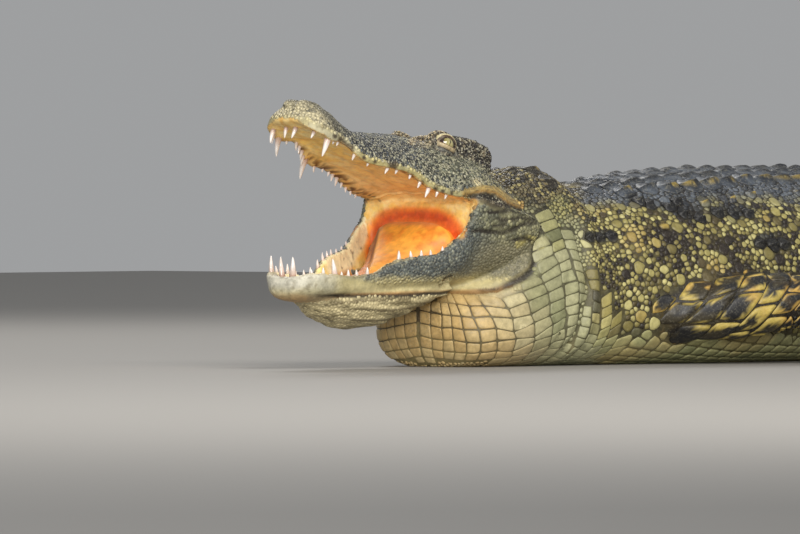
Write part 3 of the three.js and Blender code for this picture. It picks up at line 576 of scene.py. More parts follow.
def from_cells(Q):
    X = np.interp(Q[:, 0], _cw, _cx)
    h = np.interp(X, _cx, _ch)
    return np.stack([X - SNOUT, Q[:, 1] * h, Q[:, 2] * h], -1)


def raw_mesh(name, V, polys):
    """A Blender mesh from vertices and a list of (m, k) polygon arrays."""
    me = bpy.data.meshes.new(name)
    polys = [np.asarray(p) for p in polys if len(p)]
    me.vertices.add(len(V))
    me.vertices.foreach_set("co", np.asarray(V, np.float32).ravel())
    loops = np.concatenate([p.ravel() for p in polys]).astype(np.int32)
    sizes = np.concatenate([np.full(len(p), p.shape[1]) for p in polys]).astype(np.int32)
    me.loops.add(len(loops))
    me.loops.foreach_set("vertex_index", loops)
    me.polygons.add(len(sizes))
    me.polygons.foreach_set("loop_start", np.concatenate([[0], np.cumsum(sizes)[:-1]]).astype(np.int32))
    me.polygons.foreach_set("loop_total", sizes)
    me.update(calc_edges=True)
    return me


def voxel_mesh(V, F):
    me = raw_mesh("cells", to_cells(V), [F])
    ob = bpy.data.objects.new("cells", me)
    bpy.context.scene.collection.objects.link(ob)
    mod = ob.modifiers.new("cells", "REMESH")
    mod.mode = "VOXEL"
    mod.voxel_size = 1.0
    mod.adaptivity = 0
    dg = bpy.context.evaluated_depsgraph_get()
    out = ob.evaluated_get(dg).to_mesh()
    n, m = len(out.vertices), len(out.polygons)
    co = np.empty(n * 3, np.float32)
    out.vertices.foreach_get("co", co)
    sz = np.empty(m, np.int32)
    out.polygons.foreach_get("loop_total", sz)
    lp = np.empty(len(out.loops), np.int32)
    out.loops.foreach_get("vertex_index", lp)
    assert (sz == 4).all(), "cells that aren't quads"
    ob.evaluated_get(dg).to_mesh_clear()
    bpy.data.objects.remove(ob)
    return from_cells(co.reshape(-1, 3).astype(float)), lp.reshape(-1, 4)


def keep_largest(V, Q):
    """Drops inner shells: keeps the connected body with most faces."""
    lab = np.arange(len(V))
    while True:
        m = lab[Q].min(1)
        new = lab.copy()
        np.minimum.at(new, Q.ravel(), np.repeat(m, 4))
        new = new[new]
        if (new == lab).all():
            break
        lab = new
    which = lab[Q[:, 0]]
    ids, cnt = np.unique(which, return_counts=True)
    keep = which == ids[cnt.argmax()]
    Q = Q[keep]
    used = np.unique(Q)
    back = np.full(len(V), -1)
    back[used] = np.arange(len(used))
    return V[used], back[Q]


class Net:
    """Edges of a quad mesh, for smoothing fields and shapes over it."""

    def __init__(self, n, Q):
        e = np.vstack([Q[:, [0, 1]], Q[:, [1, 2]], Q[:, [2, 3]], Q[:, [3, 0]]])
        e = np.unique(np.sort(e, 1), axis=0)
        self.a, self.b, self.n = e[:, 0], e[:, 1], n
        self.deg = np.bincount(self.a, minlength=n) + np.bincount(self.b, minlength=n)

    def mean(self, F):
        F = np.asarray(F, float)
        if F.ndim == 1:
            s = (np.bincount(self.a, F[self.b], self.n) + np.bincount(self.b, F[self.a], self.n))
            return s / np.maximum(self.deg, 1)
        return np.stack([self.mean(F[:, k]) for k in range(F.shape[1])], -1)

    def blur(self, F, n, w=1.0):
        for _ in range(n):
            F = F + w * (self.mean(F) - F) if np.ndim(w) == 0 else F + (w[:, None] if F.ndim > 1 else w) * (self.mean(F) - F)
        return F


def vertex_normals(V, Q):
    n = np.cross(V[Q[:, 2]] - V[Q[:, 0]], V[Q[:, 3]] - V[Q[:, 1]])
    out = np.stack([np.bincount(Q.ravel(), np.repeat(n[:, k], 4), len(V)) for k in range(3)], -1)
    return unit(out)


# -------------------------------------------------------------- the skin
SV, SF, SLAB, SDIR, SS = source_solids()
say("source solids", len(SV), len(SF))
V, Q = voxel_mesh(SV, SF)
V, Q = keep_largest(V, Q)
say("cells", len(V), "points", len(Q) * 2, "triangles")
net = Net(len(V), Q)

tree = KDTree(len(SV))
for i, p in enumerate(SV):
    tree.insert(p, i)
tree.balance()
near = np.fromiter((tree.find(p)[1] for p in V), int, len(V))
LAB = SLAB[near]
DIR = SDIR[near]
PAR = SS[near]
# points of the cheek's outer wall that lie nearest to the lining's mesh
_x = V[:, 0] + SNOUT
wall = (np.isin(LAB, (L_FLOOR, L_TONGUE)) & (_x < 447) & (np.abs(V[:, 1]) > J[1](np.clip(_x, 0, 447)) - 7)
        & (V[:, 2] < J[3](np.clip(_x, 0, 447)) - 12))
LAB[wall] = L_JAW
say("labels")


def mask(*labels):
    return np.isin(LAB, labels).astype(float)


# Creases where one form grows out of another are eased.
edge_diff = (LAB[net.a] != LAB[net.b]) & ~(np.isin(LAB[net.a], (L_PALATE, L_GUM, L_FLOOR, L_TONGUE))
                                          | np.isin(LAB[net.b], (L_PALATE, L_GUM, L_FLOOR, L_TONGUE)))
seam = np.zeros(len(V))
seam[net.a[edge_diff]] = 1
seam[net.b[edge_diff]] = 1
limbs = mask(L_FORE, L_HIND, L_BODY)
seam_body = np.clip(net.blur(seam * limbs, 8) * 6, 0, 1) * np.clip(net.blur(limbs, 4), 0, 1)
seam_head = np.clip(net.blur(seam * (V[:, 0] < -500), 3) * 2.5, 0, 1)
# taubin pass over everything, then easing at the creases
for _ in range(5):
    V = V + 0.5 * (net.mean(V) - V)
    V = V - 0.52 * (net.mean(V) - V)
V = net.blur(V, 14, 0.5 * seam_body)
V = net.blur(V, 4, 0.5 * seam_head)
N = vertex_normals(V, Q)
_x = V[:, 0] + SNOUT
wall = (np.isin(LAB, (L_FLOOR, L_TONGUE, L_PALATE)) & (_x < 430) & (np.abs(V[:, 1]) > 0.74 * J[1](np.clip(_x, 0, 447)))
        & (V[:, 2] < J[3](np.clip(_x, 0, 447)) - 14) & (N[:, 1] * np.sign(V[:, 1]) > 0.15))
LAB[wall] = L_JAW
say("smoothed")

mouth = net.blur(mask(L_PALATE, L_GUM, L_FLOOR, L_TONGUE), 1)
inside = mask(L_PALATE, L_FLOOR, L_TONGUE)
T, A = spine_place(V)
TH = body_angle(T, A, V[:, 2])
S_, A_, V_ = in_skull(V)

# ------------------------------------------------ folds, lips and wrinkles
def seg_dist(P2, line):
    """Distance of 2-D points to a polyline, and how far along it they lie."""
    best, along = np.full(len(P2), 1e9), np.zeros(len(P2))
    line = np.asarray(line, float)
    n = len(line) - 1
    for k in range(n):
        p, d = line[k], line[k + 1] - line[k]
        u = np.clip(((P2 - p) @ d) / (d @ d), 0, 1)
        r = np.linalg.norm(P2 - p - u[:, None] * d, axis=1)
        hit = r < best
        best[hit], along[hit] = r[hit], (k + u[hit]) / n
    return best, along


def cheek(px, py):
    """Side-view place (X, z) on the cheek for a point of the photograph's frame."""
    return ((px - 286) * 2.27 - 143, (370 - py) * 1.46)


# Creases that run back from the corner of the mouth to the jaw joint, and
# the one that parts the cheek from the neck: [depth, half width, points]
JAW_EDGE = ([296, 320, 345, 400, 470, 498, 513, 526, 533, 539, 542], [296, 298, 297, 296, 295, 293, 287, 278, 270, 255, 236])
_u0 = 286 + 0.44 * (V[:, 0] + SNOUT) + 0.525 * np.abs(V[:, 1])
_w0 = 370 - V[:, 2] / 1.46
_mine = (_w0 < np.interp(_u0, *JAW_EDGE)) & (_u0 < 542) & (_w0 > 232) & (np.abs(V[:, 1]) > 40) & (N[:, 1] * np.sign(V[:, 1]) > 0.05)
LAB[np.isin(LAB, (L_BODY, L_POUCH)) & _mine] = L_JAW
# the thin corner of the jaw's shell joins the neck without a step
_x0 = V[:, 0] + SNOUT
_thin = np.isin(LAB, (L_FLOOR, L_TONGUE)) & (_x0 > 245) & (_x0 < 305) & (np.abs(V[:, 1]) > 58) & (V[:, 2] < 144)
LAB[_thin] = L_JAW
_join = np.exp(-((_u0 - 454) / 13) ** 2 - ((_w0 - 283) / 12) ** 2) * (np.abs(V[:, 1]) > 55) * (LAB == L_JAW)
V = net.blur(V, 14, 0.9 * np.clip(1.6 * _join, 0, 1))
N = vertex_normals(V, Q)
CREASES = [
    (3.4, 2.6, [(474, 232.8), (487, 231.8), (496, 233.3), (508, 234.2), (514, 231.8), (519, 229), (527, 224.6), (542, 224)]),
    (1.8, 2.2, [(498, 220), (512, 220.8), (521, 219), (541, 220.8)]),
    (1.8, 2.2, [(487, 212), (500, 213.6), (514, 211), (527, 214), (542, 217)]),
    (1.6, 2.2, [(513, 208), (526, 210), (537, 212)]),
    (3.0, 3.0, [(472, 200.5), (482, 196.5), (493, 196), (503, 200), (514, 206.5), (533, 212)]),
    (1.5, 2.2, [(497, 227), (510, 226.5)]),
    (2.2, 2.4, [(515, 242), (527, 240), (536, 243.5)]),
    (2.6, 2.0, [(356, 297.5), (400, 296.5), (440, 296), (470, 295), (498, 293)]),
    (4.5, 3.6, [(540, 212), (545, 224), (542, 241), (538, 252), (536, 263), (532, 272), (526, 278), (513, 287), (498, 293)]),
]
# Raised rolls of skin over the corner: the pale fold under the cheek
ROLLS = [
    (1.6, 2.4, [(466, 195.5), (476, 193.0), (486, 192), (497, 194), (506, 201), (516, 206)]),
    (1.9, 3.0, [(462, 191), (474, 187.5), (483, 185.5), (494, 187), (503, 191.5), (511, 198), (522, 205), (533, 208)]),
]
XZ = np.stack([V[:, 0] + SNOUT, V[:, 2]], -1)
side_face = step(0.35, 0.75, np.abs(N[:, 1])) * step(70, 90, np.abs(V[:, 1])) * (1 - mouth)
side_face = np.maximum(side_face, step(0.15, 0.45, np.abs(N[:, 1])) * step(28, 40, np.abs(V[:, 1])) * (1 - mouth) * (V[:, 2] < 118))
zone = (XZ[:, 0] > 10) & (XZ[:, 0] < 520)
move = np.zeros(len(V))
crease_shade = np.zeros(len(V))
for depth, half, pts in CREASES:
    r, u = seg_dist(XZ[zone], [cheek(*p) for p in pts])
    g = np.exp(-(r / (0.8 + half)) ** 2) * np.minimum(1, 5 * np.minimum(u + 0.06, 1.06 - u)) * side_face[zone]
    move[zone] -= depth * g
    # the deeper the crease, the stronger its painted shade
    crease_shade[zone] = np.maximum(crease_shade[zone], g * min(1, 0.35 + depth / 3))
for height, half, pts in ROLLS:
    r, u = seg_dist(XZ[zone], [cheek(*p) for p in pts])
    move[zone] += height * np.exp(-(r / half) ** 2) * side_face[zone]

# the gums bulge round every tooth
for root, d, ln, up in TEETH:
    r = np.linalg.norm(V - root - d * 1.5, axis=1)
    q = r < 26
    w = 4.2 + 0.12 * ln + (0 if up else 1.2)
    move[q] += ((0.9 + 0.07 * ln) if up else (1.8 + 0.09 * ln)) * np.exp(-(r[q] / w) ** 2)

# a long pit beside the big notch of the upper jaw, and the nostrils
for sg in (-1, 1):
    r = np.sqrt(((S_ - 0.056 * SKULL) / 8.5) ** 2 + ((A_ - sg * 0.030 * SKULL - sg * 3.0) / 4.0) ** 2)
    q = (V_ > 0.10 * SKULL) & (r < 3)
    move[q] -= 5.5 * np.exp(-r[q] ** 2 * 1.3)
    ring = np.exp(-((r - 1.9) / 0.6) ** 2)
    move[q] += 0.7 * ring[q]

# ridges of the snout: low welts before the eyes and over the tooth row
top_head = mask(L_HEAD)
for sg in (-1, 1):
    path = [(0.36, 0.070, 0.0), (0.46, 0.085, 0.0), (0.58, 0.092, 0.0), (0.66, 0.088, 0.0)]
    r, u = seg_dist(np.stack([S_ / SKULL, np.abs(A_) / SKULL], -1), [(p[0], p[1]) for p in path])
    q = (V_ > 0.05 * SKULL) & (np.sign(A_) == sg) & (top_head > 0)
    move[q] += 1.2 * np.exp(-(r[q] / 0.022) ** 2) * np.sin(np.clip(u[q], 0, 1) * math.pi)
q = (A_ > 0) & (V_ > 0.225 * SKULL) & (top_head > 0)
move[q] -= 3.2 * np.exp(-(((S_[q] / SKULL - 0.70) / 0.075) ** 2 + ((A_[q] / SKULL - 0.088) / 0.05) ** 2))
# the ear's flap under the edge of the skull table
for sg in (-1, 1):
    r, u = seg_dist(np.stack([S_ / SKULL, V_ / SKULL], -1), [(0.80, 0.222), (0.87, 0.228), (0.95, 0.222)])
    q = (np.sign(A_) == sg) & (np.abs(A_) > 0.08 * SKULL) & (top_head > 0)
    g = np.exp(-(r / 0.008) ** 2) * q
    move -= 3.0 * g
    crease_shade = np.maximum(crease_shade, g)
# lumps of the bone under the head's skin
lump = fbm(V, 22, 5, 2) - 0.5
move += 2.4 * lump * top_head * step(0, 0.3, 1 - mouth)
move += 1.5 * (fbm(V, 15, 9, 2) - 0.5) * mask(L_JAW)

# pouch: long folds
r = V[:, 2]
move += mask(L_POUCH) * 0.7 * (1.6 * np.sin((V[:, 2] + 0.12 * V[:, 0]) / 2.9) + 1.0 * np.sin(V[:, 2] / 1.4 + np.abs(V[:, 1]) * 0.12))

# the upright fold of the neck behind the cheek, and soft folds of the flank
neck_x = (T - (452 + 0.22 * (V[:, 2] - 90) + 14 * (noise(V, 60, 3) - 0.5)))
side_n = mask(L_BODY) * step(0.5, 0.9, TH) * (1 - step(2.2, 2.7, TH))
for off, dep, wid in ((26, 3.0, 6.0), (62, 6.5, 8.0), (96, 3.0, 7.0)):
    move -= dep * np.exp(-((neck_x - off) / wid) ** 2) * side_n
    move += 0.5 * dep * np.exp(-((neck_x - off - 2.2 * wid) / (1.6 * wid)) ** 2) * side_n
move += mask(L_BODY) * step(600, 700, T) * (1 - step(1500, 1560, T)) * (fbm(V, 70, 11, 2) - 0.5) * 7 * step(0.5, 0.9, TH) * (1 - step(2.0, 2.4, TH))

# palate: a few long low ridges; the throat's band is drawn in
pal = mask(L_PALATE)
move += pal * (0.8 * np.sin(A_ / 5.2) * step(20, 60, S_) + 1.1 * (fbm(V, 20, 21, 2) - 0.5))
move += mask(L_TONGUE) * (1.4 * (fbm(V, 16, 23, 3) - 0.5))
V = V + net.blur(move, 1)[:, None] * N
# The tongue's far edge stands clear of the rail: beyond it the floor is lower.
_w2 = 370 - V[:, 2] / 1.46
_u2 = 286 + 0.44 * (V[:, 0] + SNOUT) - 0.525 * V[:, 1]
_le = np.interp(_w2, [226, 236, 248, 262, 275], [380, 377.5, 374.5, 371, 366])
sunk = net.blur(mask(L_TONGUE) * step(0.5, -3.0, _u2 - _le) * step(228, 236, _w2), 1)
V[:, 2] -= 11 * sunk * step(118, 140, V[:, 2])

# The skin lies inside the solids by the depth of the scales over it.
COAT = np.full(len(V), 2.8)
COAT[mask(L_HEAD, L_JAW, L_POUCH) > 0] = 0.9
COAT[mask(L_TOE, L_FOOT) > 0] = 1.3
COAT[mask(L_FORE, L_HIND) > 0] = 2.6
COAT[inside > 0] = 0.0
COAT = net.blur(COAT, 10)
N = vertex_normals(V, Q)
V = V - COAT[:, None] * N

# ------------------------------------------------------- sockets of the eyes
EYES = {}
for sg, n in ((-1, "left"), (1, "right")):
    c = skull(EYE[0], sg * EYE[1], EYE[2])
    out = skull_dir(-0.16, sg * 0.95, 0.24)
    fwd = skull_dir(-1, 0, 0.10)
    fwd = unit(fwd - out * (fwd @ out))
    upv = np.cross(out, fwd) * (1 if sg > 0 else -1)
    if upv[2] < 0:
        upv = -upv
    EYES[n] = dict(c=c, out=out, fwd=fwd, up=upv, sg=sg)
    d = V - c
    f, u, o = d @ fwd, d @ upv, d @ out
    lens = np.sqrt((f / 17.5) ** 2 + (u / 11.5) ** 2)
    q = (lens < 1.25) & (o > 0)
    w = 1 - step(0.8, 1.22, lens[q])
    deep = np.minimum(o[q], 6.0)
    V[q] += ((deep - o[q]) * w)[:, None] * out

V[:, 2] = np.maximum(V[:, 2], np.minimum(1.6, COAT * 0.7 + 0.3))
N = vertex_normals(V, Q)
say("skin shaped")
skin_bvh = BVHTree.FromPolygons([tuple(p) for p in V], [tuple(int(i) for i in q) for q in Q])
say("skin tree")

# --------------------------------------------------------------- markings
# One set of colours for the skin and for every scale on it.
C_BLUE, C_DARK, C_BLACK = lin(104, 112, 116), lin(52, 56, 60), lin(24, 23, 23)
C_BROWN, C_CREAM, C_LIP = lin(58, 47, 36), lin(206, 198, 160), lin(214, 196, 132)
C_YELLOW, C_OLIVE, C_TAN = lin(205, 190, 98), lin(150, 146, 84), lin(203, 182, 128)
C_GREEN, C_GREY, C_HONEY = lin(160, 164, 122), lin(108, 112, 96), lin(208, 168, 92)
C_OCHRE, C_ORANGE, C_RED, C_PINK = lin(222, 142, 36), lin(236, 128, 22), lin(196, 58, 8), lin(226, 158, 112)


def chart(P):
    """The side's own chart: both flanks laid flat as the left one is seen
    from its front quarter. u runs backward, w downward."""
    return 286 + 0.44 * (P[:, 0] + SNOUT) + 0.525 * np.abs(P[:, 1]), 370 - P[:, 2] / 1.46


def near_line(u, w, pts, r0, r1):
    """1 within r0 of a line drawn on the chart, 0 beyond r1."""
    out = np.zeros(len(u))
    pts = np.asarray(pts, float)
    q = (u > pts[:, 0].min() - r1) & (u < pts[:, 0].max() + r1) & (w > pts[:, 1].min() - r1) & (w < pts[:, 1].max() + r1)
    if q.any():
        r, _ = seg_dist(np.stack([u[q], w[q]], -1), pts)
        out[q] = 1 - step(r0, r1, r)
    return out


def oval(u, w, cu, cw, ru, rw, tilt=0.0, soft=0.25):
    c, s = math.cos(tilt), math.sin(tilt)
    x, y = (u - cu) * c + (w - cw) * s, -(u - cu) * s + (w - cw) * c
    return 1 - step(1 - soft, 1 + soft, np.hypot(x / ru, y / rw))


FOLD = [(466, 193), (474, 191), (484, 189), (497, 191), (504, 196), (511, 202), (522, 206)]
CORNER = [(474, 203), (469, 207), (464, 213), (461, 220), (463, 229), (461, 237)]
LIP_PITS = [(335, 139, 2.0), (341, 143, 2.2), (344, 146, 2.0), (348, 150, 2.6), (352, 151, 1.8), (364, 161, 1.8), (375, 165, 1.3),
            (393, 169, 3.6), (403, 177, 1.8), (411, 180, 2.4), (422, 186, 1.8), (436, 192, 2.0), (443, 195, 1.6), (452, 197, 1.4)]
BLACK_KEELS = [(603, 238, 19, 6.0, -0.05), (783, 246, 20, 10, 0.12), (690, 212, 30, 9, 0.35), (742, 214, 26, 8, 0.05), (655, 203, 22, 7, 0.25)]


REDFOLD = [(373, 254), (375.5, 240), (378, 229), (385, 220.5), (397, 217), (420, 216.5), (437, 218), (447, 222.5), (454, 230), (458, 239), (459, 246)]


def markings(P, lab, t, th, rnd, s_, a_, v_, inner, tongue_w=0.0, pal_w=0.0, gum_w=0.0):
    """Linear colour of points; rnd is a steady random number for each scale."""
    n = len(P)
    x, z = P[:, 0] + SNOUT, P[:, 2]
    u, w = chart(P)
    tile = lambda *c: np.tile(lin(*c), (n, 1))
    f = s_ / SKULL
    big = fbm(P, 80, 31, 3)
    med = fbm(P, 34, 37, 3)
    fine = fbm(P, 9, 41, 2)
    grit = fbm(P, 5.0, 45, 2)
    # --- upper head: each scale dark, blue-grey or cream; paler on the cheek
    mott = rnd + 0.9 * (fine - 0.5) + 0.5 * (grit - 0.5)
    ckw = step(395, 430, u) * step(143, 156, w - 0.12 * (u - 440))
    hd = tile(40, 42, 45)
    hd = mix(hd, lin(84, 90, 96), step(0.30, 0.52, mott + 0.10 * ckw))
    hd = mix(hd, lin(120, 126, 112), step(0.46, 0.60, mott) * ckw)
    hd = mix(hd, lin(168, 166, 140), step(0.66, 0.84, mott + 0.14 * ckw))
    # blue-black saddle before the eye
    hd = mix(hd, lin(52, 58, 70), 0.40 * oval(u, w, 378, 143, 40, 12, 0.35, 0.5))
    # greenish cheek below and behind the eye
    hd = mix(hd, lin(122, 124, 92), 0.35 * oval(u, w, 462, 168, 34, 18, 0.3, 0.6))
    # brow: cream and tan granules
    brow = np.maximum(near_line(u, w, [(412, 141), (420, 138), (428, 135), (436, 133), (448, 131)], 2.0, 6.0),
                      0.6 * oval(u, w, 428, 143, 12, 5, 0, 0.5)) * (f < 0.80)
    hd = mix(hd, mix(tile(92, 74, 54), lin(206, 184, 140), step(0.35, 0.6, mott)), 0.85 * brow)
    # table and nape of the skull: dark purple-brown
    tabw = step(0.735, 0.775, f) * step(0.185, 0.215, v_ / SKULL)
    hd = mix(hd, mix(tile(44, 36, 38), lin(112, 98, 78), step(0.55, 0.85, mott)), 0.88 * tabw)
    # behind the cheek the mottling turns olive and black
    bk = step(474, 505, u + 0.25 * (w - 170)) * (1 - tabw)
    hd = mix(hd, mix(tile(52, 48, 38), lin(158, 148, 98), step(0.46, 0.62, mott)), 0.75 * bk)
    # snout: the tip is cream over dark freckles
    snw = 1 - step(0.13, 0.24, f + 0.10 * (fine - 0.5))
    hd = mix(hd, mix(tile(80, 78, 70), lin(122, 117, 100), step(0.30, 0.80, mott)), 0.90 * snw)
    tipw = 1 - step(0.030, 0.135, f + 1.3 * np.maximum(0, v_ / SKULL - 0.050) + 0.05 * (fine - 0.5))
    hd = mix(hd, lin(224, 212, 172), 0.94 * tipw * step(0.78, 0.60, grit))
    # smooth pale band over the lip, pitted along its lower edge: the pits are painted dark maroon as painted shade of
    # the sockets
    fh = np.clip(f, 0, 0.96)
    lipz = H[3](fh) * SKULL
    wide = 15.0 - 5.0 * step(0.08, 0.26, f) + 5.0 * step(0.60, 0.86, f)
    band = (1 - step(0.78, 1.10, (v_ - lipz + 5.0 * (fine - 0.5) + 4.0 * (grit - 0.5)) / wide)) * (1 - step(0.90, 1.0, f))
    lipc = mix(tile(228, 220, 182), lin(198, 190, 140), step(0.14, 0.34, f))
    lipc = mix(lipc, lin(214, 196, 122), 0.6 * step(0.45, 0.7, med))
    lipc = mix(lipc, lin(206, 196, 156), 0.7 * step(0.66, 0.80, f))
    hd = mix(hd, lipc, 0.95 * band)
    pit_shade = np.zeros(n)
    for pu, pw, pr in LIP_PITS:
        pit_shade = np.maximum(pit_shade, oval(u, w, pu, pw - 3.2, pr * 1.25, pr * 1.45, 0, 0.40))
    pit_shade = pit_shade * (v_ - lipz < 11)
    # painted shade: dark maroon in the sockets' pits, which the skin doesn't hollow out
    hd = mix(hd, lin(50, 26, 22), 0.92 * pit_shade)
    hd = mix(hd, lin(110, 90, 60), 0.55 * band * step(0.66, 0.76, grit))
    # --- lower jaw: cream tip, blue-grey upper side, clear cream rail below
    xj = np.clip(x, 0, 447)
    bot, rim = J[2](xj), J[3](xj)
    mj = rnd + 0.7 * (fine - 0.5) + 0.5 * (grit - 0.5)
    blue = mix(tile(74, 80, 80), lin(104, 111, 108), step(0.25, 0.60, mj))
    blue = mix(blue, lin(138, 141, 124), 0.8 * step(0.70, 0.95, mj))
    cheek_c = mix(tile(118, 114, 88), lin(142, 136, 108), step(0.30, 0.75, mj))
    cheek_c = mix(cheek_c, lin(96, 94, 76), 0.4 * step(0.30, 0.12, mj))
    cheek_c = mix(cheek_c, lin(196, 182, 132), 0.85 * step(9.0, 3.0, np.interp(u, *JAW_EDGE) - w + 3 * (med - 0.5)) * (w > 250))
    jw = mix(blue, cheek_c, step(-8, 26, (u - 478) + 0.7 * (w - 246) + 14 * (med - 0.5)))
    # its lower half is cream, passing through grey
    edge = np.interp(u, [300, 330, 345, 380, 430, 470, 500, 530], [266, 270, 277, 281, 279, 277, 279, 281])
    lowc = step(-5.5, 4.5, w - edge + 7 * (med - 0.5) + 3 * (fine - 0.5))
    rail_c = mix(tile(214, 200, 144), lin(200, 186, 132), step(0.35, 0.65, med))
    rail_c = mix(rail_c, lin(168, 160, 122), 0.4 * step(0.60, 0.85, mj))
    rail_c = mix(rail_c, lin(226, 212, 158), 0.6 * step(4.0, 8.0, w - edge))
    low_l = np.interp(u, *JAW_EDGE) - w
    rail_c = mix(rail_c, lin(204, 146, 78), 0.85 * step(5.0, 1.5, low_l + 1.5 * (med - 0.5)))
    jw = mix(jw, rail_c, 0.94 * lowc)
    front = 1 - step(318, 350, u + 22 * (med - 0.5))
    tipc = mix(tile(236, 232, 214), lin(216, 206, 164), step(283, 294, w + 5 * (med - 0.5)))
    tipc = mix(tipc, lin(208, 158, 92), 0.70 * step(291, 300, w + 3 * (fine - 0.5)))
    tipc = mix(tipc, lin(176, 172, 140), 0.5 * step(300, 318, u) * step(276, 282, w))
    tipc = mix(tipc, lin(120, 104, 74), 0.45 * step(0.60, 0.74, grit))
    jw = mix(jw, tipc, 0.93 * front)
    jw = mix(jw, lin(66, 48, 34), 0.85 * oval(u, w, 272, 292.5, 3.6, 1.8, 0.1, 0.4))
    jw = mix(jw, lin(206, 186, 132), 0.45 * step(0.93, 1.0, (z - bot) / np.maximum(rim - bot, 10)) * (x < 200))
    # --- pouch and throat
    pch = mix(tile(206, 192, 148), lin(136, 124, 90), step(0.40, 0.80, fbm(P * [0.2, 1, 1.6], 7, 51, 2)))
    for f_ in ([(326, 305), (345, 302.5), (376, 301), (420, 298)], [(342, 311), (360, 309.5), (388, 312), (417, 308), (432, 302)],
               [(352, 321), (375, 322), (400, 320), (425, 311), (446, 302)]):
        pch = mix(pch, lin(96, 82, 56), 0.7 * near_line(u, w, f_, 0.3, 1.9))
    thr = mix(tile(196, 180, 136), lin(204, 172, 112), 0.7 * (1 - step(478, 520, u - 0.5 * (w - 320))))
    thr = mix(thr, lin(160, 162, 124), 0.85 * step(505, 560, u - 0.20 * (w - 300)))
    thr = mix(thr, lin(126, 132, 92), 0.45 * step(0.48, 0.70, med) * step(500, 540, u))
    thr = mix(thr, lin(188, 184, 146), 0.28 * step(0.45, 0.75, rnd))
    thr = mix(thr, thr * 0.88, step(0.45, 0.1, rnd))
    thr = mix(thr, lin(196, 158, 92), 0.45 * oval(u, w, 430, 318, 50, 34, 0.2, 0.6))
    # --- nape: black-brown with yellow speckles, only behind the skull
    nape = mix(tile(38, 34, 28), lin(96, 86, 58), step(0.40, 0.56, 0.7 * rnd + 0.5 * fine))
    nape = mix(nape, lin(158, 146, 94), step(0.76, 0.90, 0.7 * rnd + 0.5 * fine))
    nk = mix(thr, nape, step(226, 204, w + 12 * (med - 0.5) - 0.12 * (u - 550)) * step(420, 460, t))
    nk = mix(nk, mix(tile(98, 100, 66), lin(160, 156, 100), step(0.3, 0.6, rnd)), 0.7 * near_line(u, w, [(562, 208), (556, 220), (560, 240)], 6, 18))
    # --- flank: small clear yellow and black-brown granules, darker in patches
    blot = fbm(P * [1, 1, 1.35], 62, 61, 3)
    gr = rnd + 0.35 * (fine - 0.5) - 1.7 * np.clip(blot - 0.50, -0.10, 0.30)
    fl = mix(tile(44, 37, 31), lin(84, 74, 48), step(0.14, 0.26, gr))
    fl = mix(fl, lin(128, 118, 68), step(0.26, 0.42, gr))
    fl = mix(fl, lin(162, 152, 92), step(0.46, 0.64, gr))
    fl = mix(fl, lin(188, 180, 120), step(0.68, 0.92, gr))
    fl = mix(fl, lin(176, 138, 66), 0.35 * step(0.62, 0.74, fbm(P, 46, 63, 2)) * step(0.40, 0.55, gr))
    belly = mix(tile(178, 176, 124), lin(146, 148, 104), rnd)
    belly = mix(belly, lin(184, 152, 92), 0.4 * step(0.55, 0.7, big))
    fl = mix(fl, belly, step(1.95, 2.25, th + 0.35 * (med - 0.5)))
    keel_b = np.zeros(n)
    for cu, cw, ru, rw, tl_ in BLACK_KEELS:
        keel_b = np.maximum(keel_b, oval(u + 5 * (fine - 0.5), w + 4 * (med - 0.5), cu, cw, ru, rw, tl_, 0.22))
    fl = mix(fl, mix(tile(24, 24, 26), lin(58, 60, 62), step(0.55, 0.75, grit)), 0.93 * keel_b * (t > 470) * (th < 1.9))
    # the back is wet: dark skin whose blue-grey is partly a painted sheen of the wet skin, with a black and yellow row
    # along its edge
    back = mix(tile(80, 87, 97), lin(42, 46, 53), step(0.35, 0.62, med))
    # painted highlights: pale blue-grey flecks stand for the wet back's sheen
    back = mix(back, lin(118, 126, 136), 0.45 * step(0.55, 0.75, fine))
    fl = mix(fl, back, step(0.86, 0.62, th + 0.26 * (big - 0.5) + 0.17 * step(690, 630, u) * step(560, 585, u)))
    bd = mix(nk, fl, step(578, 600, u + 12 * (med - 0.5) + 0.10 * (250 - w)))
    # --- tail: olive with dark saddles
    bandt = 0.5 + 0.5 * np.sin((t - 1500) / 150 * 2 * math.pi / 1.25 + 1.5 * (big - 0.5))
    tl = mix(tile(150, 142, 88), lin(46, 44, 40), step(0.42, 0.62, bandt + 0.35 * (med - 0.5) + 0.3 * (rnd - 0.5)) * step(2.6, 2.0, th))
    tl = mix(tl, belly, step(2.3, 2.6, th + 0.3 * (med - 0.5)))
    tl = mix(tl, lin(62, 64, 62), 0.7 * step(0.75, 0.45, th))
    bd = mix(bd, tl, step(1440, 1560, t + 80 * (med - 0.5)))
    # --- limbs: black patches edged with yellow
    pat = fbm(P, 22, 71, 3)
    lg = mix(tile(198, 172, 84), lin(28, 28, 29), step(0.43, 0.47, pat + 0.04 * (rnd - 0.5)))
    lg = mix(lg, lin(222, 160, 80), 0.5 * step(0.60, 0.75, fbm(P, 40, 73, 2)) * (pat < 0.45))
    pw = mix(tile(112, 106, 72), lin(44, 42, 36), step(0.45, 0.6, 0.6 * med + 0.4 * rnd))

    col = tile(108, 112, 96)
    col = np.where((lab == L_HEAD)[:, None], hd, col)
    col = np.where((lab == L_JAW)[:, None], jw, col)
    col = np.where((lab == L_POUCH)[:, None], pch, col)
    col = np.where((lab == L_BODY)[:, None], bd, col)
    col = np.where(np.isin(lab, (L_FORE, L_HIND))[:, None], lg, col)
    col = np.where(np.isin(lab, (L_FOOT, L_TOE))[:, None], pw, col)
